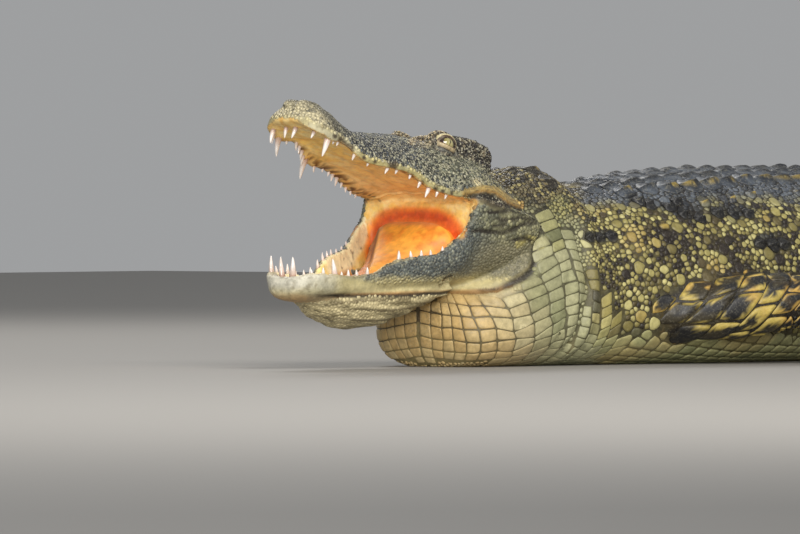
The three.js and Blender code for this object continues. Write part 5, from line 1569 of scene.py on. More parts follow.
def cell_radii(idx, M):
    """Distance from each seed to the edge of its own cell in M directions."""
    d = S["p"][NB[idx]] - S["p"][idx][:, None]
    ln = np.linalg.norm(d, axis=2)
    x, y = (d * e1[idx][:, None]).sum(2), (d * e2[idx][:, None]).sum(2)
    facing = (S["n"][NB[idx]] * S["n"][idx][:, None]).sum(2) > 0.15
    pl = np.maximum(np.hypot(x, y), 1e-6)
    x, y = x / pl * ln, y / pl * ln
    share = S["rho"][idx][:, None] / (S["rho"][idx][:, None] + S["rho"][NB[idx]])
    half = share * ln ** 2
    ang = np.arange(M) * 2 * math.pi / M + (PHASE if M > 10 else 0.3)
    proj = x[:, None] * np.cos(ang)[None, :, None] + y[:, None] * np.sin(ang)[None, :, None]
    r = np.where((proj > 1e-3) & facing[:, None], half[:, None] / np.maximum(proj, 1e-3), 1e9).min(2)
    boxed = np.isfinite(S["box"][idx][:, 0, 0])
    if boxed.any():
        # four-sided scales of a net end on the net's own lines
        b = S["box"][idx][boxed] - S["p"][idx][boxed][:, None]
        q = np.stack([(b * e1[idx][boxed][:, None]).sum(2), (b * e2[idx][boxed][:, None]).sum(2)], -1)
        area = (q[:, :, 0] * np.roll(q[:, :, 1], -1, 1) - q[:, :, 1] * np.roll(q[:, :, 0], -1, 1)).sum(1)
        q = np.where(area[:, None, None] > 0, q, q[:, ::-1])
        d = np.roll(q, -1, 1) - q
        ln = np.maximum(np.linalg.norm(d, axis=2), 1e-6)
        nx, ny = d[:, :, 1] / ln, -d[:, :, 0] / ln
        off = np.maximum(nx * q[:, :, 0] + ny * q[:, :, 1], 0.8)
        den = nx[:, None] * np.cos(ang)[None, :, None] + ny[:, None] * np.sin(ang)[None, :, None]
        rb = np.where(den > 1e-3, (off - S["gap"][idx][boxed][:, None])[:, None] / np.maximum(den, 1e-3), 1e9).min(2)
        rv = r[boxed]
        # where the net meets scales of another kind, the nearer edge wins
        other = ~np.isfinite(S["box"][NB[idx][boxed], 0, 0])
        lb = np.linalg.norm(S["p"][NB[idx[boxed]]] - S["p"][idx[boxed]][:, None], axis=2)
        hb = lb * np.maximum(lb - 0.95 * S["rho"][NB[idx[boxed]]], 0.3 * lb)
        ro = np.where((proj[boxed] > 1e-3) & facing[boxed][:, None] & other[:, None], hb[:, None] / np.maximum(proj[boxed], 1e-3), 1e9).min(2)
        r[boxed] = np.minimum(rb, np.maximum(ro, 0.55 * S["rho"][idx][boxed][:, None]))
    r = np.minimum(r, S["cap"][idx][:, None] * S["rho"][idx][:, None])
    r = np.where(boxed[:, None], r, np.maximum(r - S["gap"][idx][:, None], 0.25 * S["rho"][idx][:, None]))
    sm = 0.5 * r + 0.25 * (np.roll(r, 1, 1) + np.roll(r, -1, 1))
    rag = np.random.default_rng(17).uniform(0.86, 1.06, (n_s, M))[idx] if M <= 8 else 1.0
    return np.where(boxed[:, None], 0.35 * sm + 0.65 * np.minimum(r, sm * 1.06), np.minimum(r, sm * 1.08) * rag), ang


def boxed_outline(idx, M):
    """Outline of four-sided scales in their own plane: M points, a quarter
    of them to each side, held back by the gap and by scales of other kinds."""
    P = S["p"][idx]
    b = S["box"][idx] - P[:, None]
    q = np.stack([(b * e1[idx][:, None]).sum(2), (b * e2[idx][:, None]).sum(2)], -1)
    area = (q[:, :, 0] * np.roll(q[:, :, 1], -1, 1) - q[:, :, 1] * np.roll(q[:, :, 0], -1, 1)).sum(1)
    q = np.where(area[:, None, None] > 0, q, q[:, ::-1])
    nx, pv = np.roll(q, -1, 1) - q, np.roll(q, 1, 1) - q
    q = q + S["gap"][idx][:, None, None] * (unit(nx) + unit(pv))
    m = M // 4
    f = (np.arange(m) / m)[None, None, :, None]
    E = (q[:, :, None] * (1 - f) + np.roll(q, -1, 1)[:, :, None] * f).reshape(len(idx), M, 2)
    c = np.arange(4) * m
    E[:, c] = 0.66 * E[:, c] + 0.17 * (E[:, (c - 1) % M] + E[:, (c + 1) % M])
    r = np.maximum(np.linalg.norm(E, axis=2), 1e-3)
    dr = E / r[..., None]
    d = S["p"][NB[idx]] - P[:, None]
    ln = np.linalg.norm(d, axis=2)
    x, y = (d * e1[idx][:, None]).sum(2), (d * e2[idx][:, None]).sum(2)
    pl = np.maximum(np.hypot(x, y), 1e-6)
    x, y = x / pl * ln, y / pl * ln
    ok = ((S["n"][NB[idx]] * S["n"][idx][:, None]).sum(2) > 0.15) & ~np.isfinite(S["box"][NB[idx], 0, 0])
    proj = x[:, None] * dr[:, :, None, 0] + y[:, None] * dr[:, :, None, 1]
    hb = ln * np.maximum(ln - 0.95 * S["rho"][NB[idx]], 0.3 * ln)
    ro = np.where((proj > 1e-3) & ok[:, None], hb[:, None] / np.maximum(proj, 1e-3), 1e9).min(2)
    r = np.minimum(r, np.maximum(ro, 0.5 * S["rho"][idx][:, None]))
    r = np.minimum(r, S["cap"][idx][:, None] * S["rho"][idx][:, None])
    return dr * r[..., None]


def scale_colours(idx):
    v = S["v"][idx]
    P = S["p"][idx]
    s_, a_, v_ = in_skull(P)
    t, a = spine_place(P)
    th = body_angle(t, a, P[:, 2])
    rnd = np.random.default_rng(9).random(n_s)[idx]
    return markings(P, LAB[v], t, th, rnd, s_, a_, v_, np.zeros(len(idx))), rnd, t, th


def plates(name, idx, M, rings):
    """Closed plates over the skin for the seeds idx. `rings` lists the rings
    above the base as (share of radius, share of height)."""
    n = len(idx)
    all_boxed = M == 20 and np.isfinite(S["box"][idx][:, 0, 0]).all()
    if all_boxed:
        xy = boxed_outline(idx, M)
        r = np.linalg.norm(xy, axis=2)
    else:
        r, ang = cell_radii(idx, M)
    c, nn, a1, a2 = S["p"][idx], S["n"][idx], e1[idx], e2[idx]
    h, tilt, keel = S["h"][idx], S["tilt"][idx], S["keel"][idx]
    if all_boxed:
        edge = c[:, None] + a1[:, None] * xy[..., :1] + a2[:, None] * xy[..., 1:]
    else:
        dirs = a1[:, None] * np.cos(ang)[None, :, None] + a2[:, None] * np.sin(ang)[None, :, None]
        edge = c[:, None] + dirs * r[..., None]
    if S["kind"][idx].max() > 0:
        flat = edge.reshape(-1, 3)
        pos = np.empty_like(flat)
        for i, p in enumerate(flat):
            q = skin_bvh.find_nearest(p)[0]
            pos[i] = q
        far = np.linalg.norm(pos - flat, axis=1) > 7
        pos[far] = flat[far]
        edge = pos.reshape(edge.shape)
    base = edge - nn[:, None] * 0.9
    rel = edge - c[:, None]
    x = (rel * a1[:, None]).sum(2)
    y = (rel * a2[:, None]).sum(2)
    span = np.maximum(np.abs(x).max(1), 1e-3)
    verts = [base]
    # painted shade: a darkness for each ring, 0.60 at the base rising to 1 at the centre, later multiplied into the
    # colour
    shade = [np.full((n, M), 0.60)]
    for fr, fh in rings + [(0.0, 1.0)]:
        k = np.broadcast_to(fr, (n, M)) if fr > 0 else np.zeros((n, 1))
        P = c[:, None] + (rel * fr if fr > 0 else rel[:, :1] * 0)
        if all_boxed and 0 < fr < 0.97:
            flat = P.reshape(-1, 3)
            got = np.array([skin_bvh.find_nearest(p)[0] for p in flat])
            got[np.linalg.norm(got - flat, axis=1) > 6] = np.nan
            P = np.where(np.isfinite(got), got, flat).reshape(P.shape)
        X = (x * fr if fr > 0 else np.zeros((n, 1))) / span[:, None]
        Y = (y * fr if fr > 0 else np.zeros((n, 1)))
        lift = h[:, None] * fh * (1 + tilt[:, None] * X)
        kw = np.maximum(0.20 * r.mean(1), 1.5)[:, None]
        ridge = keel[:, None] * (0.35 + 0.65 * (X + 1) / 2) * np.exp(-(Y / kw) ** 2 * 0.9) * (1 - np.clip(fr, 0, 1) ** 5 * 0.85)
        ridge *= np.where(X > 0.72, 1 - (X - 0.72) / 0.28 * 0.8, 1)
        # the middle of a plate bows with the skin under it
        verts.append(P + nn[:, None] * (lift + ridge)[..., None])
        sh = 0.70 + 0.30 * (1 - fr) ** 0.5 if fr > 0 else np.ones((n, 1))
        shade.append(np.broadcast_to(sh, X.shape) + 0.0 * X)
    nv = (len(rings) + 1) * M + 1
    Vp = np.concatenate(verts, 1).reshape(-1, 3)
    SHD = np.concatenate(shade, 1)
    EDGE = np.concatenate([np.full(M, 1.0)] + [np.full(M, fr) for fr, _ in rings] + [np.zeros(1)])
    off = np.arange(n)[:, None, None] * nv
    k = np.arange(M)
    polys = []
    for L in range(len(rings)):
        q = np.stack([k + L * M, (k + 1) % M + L * M, (k + 1) % M + (L + 1) * M, k + (L + 1) * M], -1)
        polys.append((q[None] + off).reshape(-1, 4))
    top = len(rings) * M
    q = np.stack([k + top, (k + 1) % M + top, np.full(M, top + M)], -1)
    polys.append((q[None] + off).reshape(-1, 3))
    polys.append((k[::-1][None, None] + off).reshape(-1, M))
    Vp[:, 2] = np.maximum(Vp[:, 2], 0.15)
    me = raw_mesh(name, Vp / 1000, polys)
    me.shade_smooth()
    # colours: the scale's own, with painted shade making it darker toward its sides and base ring, where shade falls
    # between the scales
    col, rnd, t, th = scale_colours(idx)
    per = np.repeat(col, nv, 0)
    lab = LAB[S["v"][idx]]
    shd = SHD.reshape(-1)
    own = markings(Vp, np.repeat(lab, nv), np.repeat(t, nv), np.repeat(th, nv), np.repeat(rnd, nv), *in_skull(Vp), np.zeros(len(Vp)))
    big = np.repeat(np.clip((S["rho"][idx] - 9) / 5, 0, 1), nv)
    limb = np.repeat(np.isin(lab, (L_FORE, L_HIND)), nv)
    per = mix(per, own, np.maximum(big * 0.75, limb * 1.0))
    kz = np.repeat(S["keel"][idx] > 3, nv)
    hh = (ridge_share(Vp, idx, nv) if kz.any() else np.zeros(len(Vp)))
    streak = step(0.50, 0.62, fbm(Vp * [0.35, 1, 1], 9, 95, 2)) * step(0.28, 0.55, np.repeat(th, nv))
    per = mix(per, C_BLACK, 0.80 * kz * step(0.25, 0.7, hh))
    blk = np.zeros(len(Vp))
    if kz.any():
        cu_, cw_ = chart(Vp)
        for bu, bw, ru, rw, tl_ in BLACK_KEELS:
            blk = np.maximum(blk, oval(cu_, cw_, bu, bw, ru * 1.1, rw * 1.2, tl_, 0.15))
    per = mix(per, lin(186, 162, 82), 0.75 * kz * streak * step(0.15, 0.5, hh) * (1 - blk))
    per = mix(per, lin(26, 26, 28), 0.9 * kz * blk)
    nuc = np.repeat((S["kind"][idx] == KIND_SCUTE) & (t < 625) & (S["p"][idx][:, 2] > 250), nv)
    per = mix(per, mix(np.tile(lin(36, 32, 28), (len(Vp), 1)), lin(150, 132, 80), step(0.66, 0.74, fbm(Vp, 6, 99, 2))), 0.93 * nuc)
    # the plates of the limbs are black with pale borders, the net's keep clean edges
    if np.isin(lab, (L_FORE, L_HIND)).any() and M > 10:
        rim_ = np.clip(1 - (np.tile(EDGE, n)), 0, 1)
        pale = step(0.03, 0.17, 0.09 + 0.8 * rim_ + 1.25 * (fbm(Vp, 13, 97, 3) - 0.50) + 1.1 * (fbm(Vp, 52, 98, 2) - 0.5))
        limbp = limb * np.repeat(S["kind"][idx] == KIND_PLATE, nv)
        lc = mix(np.tile(lin(196, 174, 90), (len(Vp), 1)), lin(206, 156, 78), 0.6 * step(0.5, 0.7, fbm(Vp, 40, 73, 2)))
        per = mix(per, mix(lc, lin(27, 27, 29), pale), limbp * 0.95)
    # painted shade: each plate's colour is darkened toward its edge and sides
    per = per * (0.40 + 0.60 * shd)[:, None]
    at = me.attributes.new("Col", "FLOAT_COLOR", "POINT")
    at.data.foreach_set("color", np.concatenate([per, np.ones((len(per), 1))], 1).astype(np.float32).ravel())
    sp = SPECK[S["v"][idx]]
    at = me.attributes.new("speck", "FLOAT", "POINT")
    at.data.foreach_set("value", np.repeat(sp, nv).astype(np.float32))
    # where each scale's colours are kept: a patch at its root on the unrolled skin
    uv0 = unroll(idx)
    rel2 = Vp.reshape(n, nv, 3) - c[:, None]
    lx, ly = (rel2 * a1[:, None]).sum(2), (rel2 * a2[:, None]).sum(2)
    rm = np.maximum(np.sqrt(lx ** 2 + ly ** 2).max(1), 1e-3)[:, None]
    uv = np.stack([uv0[:, :1] + lx / rm * 0.0014, uv0[:, 1:] + ly / rm * 0.0014], -1).reshape(-1, 2)
    loops = np.empty(len(me.loops), np.int32)
    me.loops.foreach_get("vertex_index", loops)
    layer = me.uv_layers.new(name="OFBake")
    layer.data.foreach_set("uv", uv[loops].astype(np.float32).ravel())
    ob = bpy.data.objects.new(name, me)
    bpy.context.scene.collection.objects.link(ob)
    me.materials.append(MAT["scale"])
    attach(ob, "root")
    say(name, n, "scales", sum(len(p) * (p.shape[1] - 2) for p in polys), "triangles")
    return ob


def ridge_share(Vp, idx, nv):
    n = len(idx)
    d = (Vp.reshape(n, nv, 3) - S["p"][idx][:, None])
    h = (d * S["n"][idx][:, None]).sum(2)
    return np.clip(h / (S["h"][idx] + np.maximum(S["keel"][idx], 1))[:, None], 0, 1).reshape(-1)


def unroll(idx):
    """Place on an unrolled map of the body: along it and round it."""
    P = S["p"][idx]
    t, a = spine_place(P)
    th = body_angle(t, a, P[:, 2]) * np.sign(a)
    lab = LAB[S["v"][idx]]
    u = (t - t.min()) / max(np.ptp(t), 1)
    w = (th + math.pi) / (2 * math.pi)
    # rank both ways, so that crowded roots still get patches of their own
    n = len(idx)
    rows = max(1, int(math.sqrt(n)))
    order = np.lexsort((w, u))
    out = np.empty((n, 2))
    cols = int(math.ceil(n / rows))
    by_u = np.argsort(u, kind="stable")
    for r in range(rows):
        part = by_u[r * cols:(r + 1) * cols]
        if len(part) == 0:
            continue
        s = part[np.argsort(w[part], kind="stable")]
        out[s, 0] = (r + 0.5) / rows
        out[s, 1] = (np.arange(len(s)) + 0.5) / cols
    return 0.004 + out * 0.992


# --------------------------------------------------------------- materials
MAT = {}


def node(nt, kind, **kw):
    n = nt.nodes.new(kind)
    for k, v in kw.items():
        setattr(n, k, v)
    return n


def ramp(nt, fac, lo, hi):
    n = node(nt, "ShaderNodeMapRange", interpolation_type="SMOOTHSTEP")
    n.inputs["From Min"].default_value, n.inputs["From Max"].default_value = lo, hi
    nt.links.new(fac, n.inputs["Value"])
    return n.outputs["Result"]


def math_n(nt, op, a, b):
    n = node(nt, "ShaderNodeMath", operation=op)
    for i, v in enumerate((a, b)):
        if isinstance(v, (int, float)):
            n.inputs[i].default_value = v
        else:
            nt.links.new(v, n.inputs[i])
    return n.outputs[0]


def mix_c(nt, fac, a, b):
    n = node(nt, "ShaderNodeMix", data_type="RGBA")
    n.inputs[0].default_value = 0.5
    for sock, v in ((n.inputs[0], fac), (n.inputs[6], a), (n.inputs[7], b)):
        if isinstance(v, (int, float)):
            sock.default_value = v
        elif isinstance(v, tuple):
            sock.default_value = v
        else:
            nt.links.new(v, sock)
    return n.outputs[2]


def noise_n(nt, vec, scale, detail=3, rough=0.6):
    n = node(nt, "ShaderNodeTexNoise")
    n.inputs["Scale"].default_value = scale
    n.inputs["Detail"].default_value = detail
    n.inputs["Roughness"].default_value = rough
    nt.links.new(vec, n.inputs["Vector"])
    return n.outputs["Fac"]


def hide_material(name, rough_lo, rough_hi, bump=0.35, wet=False):
    """Animal hide: the painted markings broken up by fine speckles and grain."""
    m = bpy.data.materials.new(name)
    m.use_nodes = True
    nt = m.node_tree
    b = nt.nodes["Principled BSDF"]
    co = node(nt, "ShaderNodeTexCoord").outputs["Object"]
    col = node(nt, "ShaderNodeAttribute", attribute_name="Col").outputs["Color"]
    sp = node(nt, "ShaderNodeAttribute", attribute_name="speck").outputs["Fac"]
    n1 = noise_n(nt, co, 260, 3, 0.62)
    n2 = noise_n(nt, co, 330, 2, 0.6)
    n3 = noise_n(nt, co, 95, 4, 0.6)
    dark = math_n(nt, "MULTIPLY", ramp(nt, n1, 0.51, 0.57), sp)
    pale = math_n(nt, "MULTIPLY", math_n(nt, "MULTIPLY", ramp(nt, n2, 0.54, 0.62), sp), 0.80)
    c1 = mix_c(nt, dark, col, (0.012, 0.012, 0.013, 1))
    c2 = mix_c(nt, pale, c1, (0.50, 0.47, 0.34, 1))
    shade = node(nt, "ShaderNodeMapRange")
    shade.inputs["From Min"].default_value, shade.inputs["From Max"].default_value = 0.3, 0.7
    shade.inputs["To Min"].default_value, shade.inputs["To Max"].default_value = 0.78, 1.18
    nt.links.new(n3, shade.inputs["Value"])
    hs = node(nt, "ShaderNodeHueSaturation")
    nt.links.new(shade.outputs["Result"], hs.inputs["Value"])
    nt.links.new(c2, hs.inputs["Color"])
    nt.links.new(hs.outputs["Color"], b.inputs["Base Color"])
    rg = node(nt, "ShaderNodeMapRange")
    rg.inputs["From Min"].default_value, rg.inputs["From Max"].default_value = 0.3, 0.7
    rg.inputs["To Min"].default_value, rg.inputs["To Max"].default_value = rough_lo, rough_hi
    nt.links.new(n3, rg.inputs["Value"])
    nt.links.new(rg.outputs["Result"], b.inputs["Roughness"])
    bp = node(nt, "ShaderNodeBump")
    bp.inputs["Strength"].default_value = bump
    bp.inputs["Distance"].default_value = 0.0009
    nt.links.new(n1, bp.inputs["Height"])
    nt.links.new(bp.outputs["Normal"], b.inputs["Normal"])
    b.inputs["Specular IOR Level"].default_value = 0.45
    MAT[name] = m
    return m


hide_material("scale", 0.38, 0.62, 0.30)
hide_material("skin", 0.42, 0.66, 0.40)

me = raw_mesh("skin", V / 1000, [Q])
me.shade_smooth()
at = me.attributes.new("Col", "FLOAT_COLOR", "POINT")
at.data.foreach_set("color", np.concatenate([np.clip(SKIN_COL, 0, 1), np.ones((len(V), 1))], 1).astype(np.float32).ravel())
at = me.attributes.new("speck", "FLOAT", "POINT")
at.data.foreach_set("value", SPECK.astype(np.float32))
skin = bpy.data.objects.new("skin", me)
bpy.context.scene.collection.objects.link(skin)
me.materials.append(MAT["skin"])
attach(skin, "root")
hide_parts("head", "lower_jaw", "tongue", "neck", "trunk_front", "trunk_rear", "tail_1", "tail_2", "tail_3",
            "tail_4", *[f"{l}_{s}_{p}" for l in ("foreleg", "hindleg") for s in ("left", "right")
                        for p in ("upper", "lower")], *[f"{l}_{s}" for l in ("forefoot", "hindfoot")
                                                        for s in ("left", "right")])

kind = S["kind"]
vl = LAB[S["v"]]
tt_ = spine_place(S["p"])[0]
RA = [(0.90, 0.80), (0.52, 0.97)]
RB = [(0.86, 0.88)]
RC = [(0.97, 0.45), (0.82, 0.85), (0.55, 1.0), (0.25, 1.0)]
plates("scales_head", np.flatnonzero((kind == 0) & (vl == L_HEAD)), 8, RB)
plates("scales_jaw", np.flatnonzero((kind == 0) & np.isin(vl, (L_JAW, L_POUCH))), 8, RB)
sb = (kind == 0) & (vl == L_BODY)
plates("scales_flank_left", np.flatnonzero(sb & (S["p"][:, 1] < 0) & (tt_ < 1500)), 8, RB)
plates("scales_flank_right", np.flatnonzero(sb & (S["p"][:, 1] >= 0) & (tt_ < 1500)), 8, RB)
rest = (kind == 0) & (np.isin(vl, (L_FORE, L_HIND, L_FOOT, L_TOE)) | ((vl == L_BODY) & (tt_ >= 1500)))
plates("scales_limbs_small", np.flatnonzero(rest), 8, RB)
pb = (kind == 1) & (vl == L_BODY)
RN = [(0.955, 0.62), (0.80, 0.97), (0.42, 1.0)]
boxed_ = np.isfinite(S["box"][:, 0, 0])
plates("scales_throat", np.flatnonzero(pb & boxed_), 20, RN)
pb &= ~boxed_
plates("scales_neck", np.flatnonzero(pb & (tt_ < 640)), 14, RA)
plates("scales_trunk", np.flatnonzero(pb & (tt_ >= 640) & (tt_ < 1440)), 14, RA)
plates("scales_tail", np.flatnonzero(pb & (tt_ >= 1440)), 14, RA)
plates("scales_limbs", np.flatnonzero((kind == 1) & (vl != L_BODY)), 20, [(0.94, 0.70), (0.70, 0.96), (0.40, 1.0)])
plates("scutes_back", np.flatnonzero(kind == 2), 20, RC)

# ------------------------------------------------------------ eyes and lids
def attr_mesh(name, Vp, polys, col, mat, speck=0.0, uv=None):
    me = raw_mesh(name, Vp / 1000, polys)
    me.shade_smooth()
    at = me.attributes.new("Col", "FLOAT_COLOR", "POINT")
    at.data.foreach_set("color", np.concatenate([np.clip(col, 0, 1), np.ones((len(col), 1))], 1).astype(np.float32).ravel())
    at = me.attributes.new("speck", "FLOAT", "POINT")
    at.data.foreach_set("value", np.full(len(Vp), speck, np.float32) if np.ndim(speck) == 0 else speck.astype(np.float32))
    ob = bpy.data.objects.new(name, me)
    bpy.context.scene.collection.objects.link(ob)
    me.materials.append(mat)
    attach(ob, "root")
    return ob


def grid_polys(R, C, wrap=True):
    i = np.arange(R * C).reshape(R, C)
    if wrap:
        a, b, c, d = i[:-1], np.roll(i[:-1], -1, 1), np.roll(i[1:], -1, 1), i[1:]
    else:
        a, b, c, d = i[:-1, :-1], i[:-1, 1:], i[1:, 1:], i[1:, :-1]
    return np.stack([a, b, c, d], -1).reshape(-1, 4)


def plain_material(name, rough, spec=0.5, coat=0.0, grain=0.0, scale=200.0, lo=0.85, hi=1.1, ior=1.45):
    m = bpy.data.materials.new(name)
    m.use_nodes = True
    nt = m.node_tree
    b = nt.nodes["Principled BSDF"]
    co = node(nt, "ShaderNodeTexCoord").outputs["Object"]
    col = node(nt, "ShaderNodeAttribute", attribute_name="Col").outputs["Color"]
    n3 = noise_n(nt, co, scale, 3, 0.6)
    mr = node(nt, "ShaderNodeMapRange")
    mr.inputs["From Min"].default_value, mr.inputs["From Max"].default_value = 0.3, 0.7
    mr.inputs["To Min"].default_value, mr.inputs["To Max"].default_value = lo, hi
    nt.links.new(n3, mr.inputs["Value"])
    hs = node(nt, "ShaderNodeHueSaturation")
    nt.links.new(mr.outputs["Result"], hs.inputs["Value"])
    nt.links.new(col, hs.inputs["Color"])
    nt.links.new(hs.outputs["Color"], b.inputs["Base Color"])
    b.inputs["Roughness"].default_value = rough
    b.inputs["Specular IOR Level"].default_value = spec
    b.inputs["Coat Weight"].default_value = coat
    b.inputs["Coat Roughness"].default_value = 0.05
    b.inputs["IOR"].default_value = ior
    if grain:
        bp = node(nt, "ShaderNodeBump")
        bp.inputs["Strength"].default_value = grain
        bp.inputs["Distance"].default_value = 0.0006
        nt.links.new(n3, bp.inputs["Height"])
        nt.links.new(bp.outputs["Normal"], b.inputs["Normal"])
    MAT[name] = m
    return m


plain_material("eyeball", 0.08, 0.6, 0.6, 0.0, 500, 0.9, 1.08)
plain_material("tooth", 0.28, 0.5, 0.25, 0.12, 700, 0.90, 1.05)
plain_material("claw", 0.36, 0.5, 0.0, 0.35, 420, 0.7, 1.3)

LENS_F, LENS_UP, LENS_DN = 16.5, 8.2, 6.0


def lens(ph, grow=1.0):
    """The lids' opening: an almond, seen along the eye's own axis."""
    c, s = np.cos(ph), np.sin(ph)
    f = LENS_F * np.sign(c) * np.abs(c) ** 0.92
    u = np.where(s > 0, LENS_UP * np.abs(s) ** 1.15, -LENS_DN * np.abs(s) ** 1.25)
    # the front corner is drawn out and down
    u = u - 2.6 * np.clip(c, 0, 1) ** 3
    return f * grow, u * grow


for n_, e in EYES.items():
    c, out, fwd, up = e["c"], e["out"], e["fwd"], e["up"]
    # eyeball: iris and slit pupil painted by its own axes
    R, Cc = 48, 64
    th = np.linspace(0.0, math.pi, R)[:, None]
    ph = np.linspace(0, 2 * math.pi, Cc, endpoint=False)[None]
    gaze = unit(out + 0.06 * fwd + 0.03 * up)
    gf = unit(fwd - gaze * (fwd @ gaze))
    gu = np.cross(gaze, gf)
    gu = gu if gu @ up > 0 else -gu
    ex, ey, ez = np.sin(th) * np.cos(ph), np.sin(th) * np.sin(ph), np.cos(th) + 0 * ph
    bulge = 1 + 0.05 * np.exp(-(th / 0.42) ** 2)
    P = c + EYE_R * 0.985 * bulge[..., None] * (ex[..., None] * gf + ey[..., None] * gu + ez[..., None] * gaze)
    fx, fy = (ex * EYE_R).ravel(), (ey * EYE_R).ravel()
    rr = np.hypot(fx, fy)
    iris = mix(np.tile(lin(172, 164, 112), (len(fx), 1)), lin(140, 130, 78), step(3, 9.0, rr))
    vein = noise(np.stack([np.degrees(np.arctan2(fy, fx)), rr * 0.6, 0 * rr], -1), 7, 3)
    iris = mix(iris, lin(104, 92, 52), 0.45 * step(0.55, 0.8, vein))
    iris = mix(iris, lin(196, 188, 138), 0.35 * step(0.35, 0.1, vein))
    # dark brown round the iris: partly painted shade for the opening's dark corners, partly the eye's own dark rim
    iris = mix(iris, lin(44, 32, 24), step(8.6, 10.0, rr))
    slit = np.sqrt((fx / 0.8) ** 2 + (fy / 6.4) ** 2)
    iris = mix(iris, lin(36, 30, 20), 0.9 * (1 - step(0.7, 1.2, slit)))
    iris = mix(iris, lin(58, 38, 30), step(10.0, 11.5, rr))
    Vp = np.vstack([P.reshape(-1, 3)[Cc - 1:-(Cc - 1)]])
    # poles as single points
    body = P[1:-1].reshape(-1, 3)
    Vp = np.vstack([P[0, :1], body, P[-1, :1]])
    cl = np.vstack([iris[:1], iris[Cc:-Cc], iris[-1:]])
    q = grid_polys(R - 2, Cc) + 1
    k = np.arange(Cc)
    t0 = np.stack([np.zeros(Cc, int), k + 1, (k + 1) % Cc + 1], -1)
    last = 1 + (R - 3) * Cc
    t1 = np.stack([np.full(Cc, len(Vp) - 1), (k + 1) % Cc + last, k + last], -1)
    if np.dot(np.cross(Vp[q[0, 1]] - Vp[q[0, 0]], Vp[q[0, 3]] - Vp[q[0, 0]]), Vp[q[0, 0]] - c) < 0:
        q, t0, t1 = q[:, ::-1], t0[:, ::-1], t1[:, ::-1]
    ob = attr_mesh("eye_" + n_ + "_ball", Vp, [q, t0, t1], cl, MAT["eyeball"])
    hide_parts("eye_" + n_)

    # lids: a rolled rim round the opening that runs out under the skin
    C2 = 96
    ph = np.linspace(0, 2 * math.pi, C2, endpoint=False)
    rows, cols = [], []
    cream, dk, hd = lin(206, 194, 150), lin(44, 34, 28), lin(92, 92, 84)
    tan, pink, brn = lin(154, 130, 96), lin(186, 168, 130), lin(76, 56, 42)
    # growth of the outline, mm past it, height over the eyeball above and
    # below, colour above and below
    prof = [
        (1.0, -2.6, -1.6, -1.6, dk, dk), (1.0, -1.0, 0.3, 0.2, dk, dk), (1.0, 0.0, 1.0, 0.9, brn, tan), (1.0, 1.1, 1.5, 1.3, brn, pink),
        (1.0, 2.6, 1.9, 1.5, brn, pink), (1.0, 3.9, 3.0, 1.1, cream, pink), (1.0, 5.2, 3.7, 0.2, cream, dk), (1.0, 6.4, 2.8, 0.5, cream, hd),
        (1.0, 7.8, 1.5, 1.0, dk, hd), (1.0, 9.6, 1.6, 1.0, hd, dk), (1.0, 11.2, 1.5, 1.0, hd, hd)]
    upper = np.clip(np.sin(ph), 0, 1)
    lower = np.clip(-np.sin(ph), 0, 1)
    f0, u0 = lens(ph)
    # outward direction of the outline
    df, du = np.roll(f0, -1) - np.roll(f0, 1), np.roll(u0, -1) - np.roll(u0, 1)
    nf, nu = du, -df
    ln = np.hypot(nf, nu)
    nf, nu = nf / ln, nu / ln
    sgn = np.sign(nf @ f0 + nu @ u0)
    nf, nu = nf * sgn, nu * sgn
    wob = 0.5 * (noise(np.stack([f0 * 2, u0 * 2, 0 * f0], -1), 5, 8) - 0.5)
    side_up = step(-0.10, 0.25, np.sin(ph))
    for gk, past, h_up, h_dn, c_up, c_dn in prof:
        if n_ == "right":
            h_up = min(h_up, 1.8)
        hgt_ = h_up * side_up + h_dn * (1 - side_up)
        past_v = past * (1 + 0.10 * upper * (past > 0))
        f, u = f0 + nf * past_v, u0 + nu * past_v
        rad = EYE_R + hgt_ + wob * (past > 0)
        o = np.sqrt(np.clip(rad ** 2 - f ** 2 * 0.80 - u ** 2, 9.0, None))
        rows.append(c + f[:, None] * fwd + u[:, None] * up + o[:, None] * out)
        cc = mix(np.tile(c_dn, (C2, 1)), c_up, side_up)
        spk = noise(np.stack([f * 1.0, u, o], -1), 1.7, 14)
        if past > 0:
            cc = mix(cc, lin(40, 36, 34), (0.25 if past < 6 else 0.65) * step(0.55, 0.7, spk))
            cc = mix(cc, lin(190, 180, 150), 0.5 * step(0.42, 0.3, spk) * (past > 7))
        cols.append(cc)
    # last two rows lie on the skin and just under it
    for grow, sink in ((14.5, 0.25), (17.5, -1.4)):
        f, u = f0 + nf * grow, u0 + nu * grow
        P = c + f[:, None] * fwd + u[:, None] * up + out * 14
        pos, nor, vi = skin_hits(P)
        rows.append(pos + nor * sink)
        cols.append(SKIN_COL[vi])
    rows = np.array(rows)
    # blend the rim's outer rows toward the skin so that the lid has no step
    a, b = rows[4], rows[len(prof)]
    for j in range(5, len(prof)):
        w = (j - 4) / (len(prof) - 4)
        rows[j] = rows[j] * (1 - 0.75 * w) + (a * (1 - w) + b * w) * 0.75 * w + 0.0
    q = grid_polys(len(rows), C2)
    Vp = rows.reshape(-1, 3)
    mid = len(Vp) // 2
    nrm = np.cross(Vp[q[mid, 1]] - Vp[q[mid, 0]], Vp[q[mid, 3]] - Vp[q[mid, 0]])
    if nrm @ out < 0:
        q = q[:, ::-1]
    attr_mesh("eyelids_" + n_, Vp, [q], np.vstack(cols), MAT["skin"], 0.25)
say("eyes")

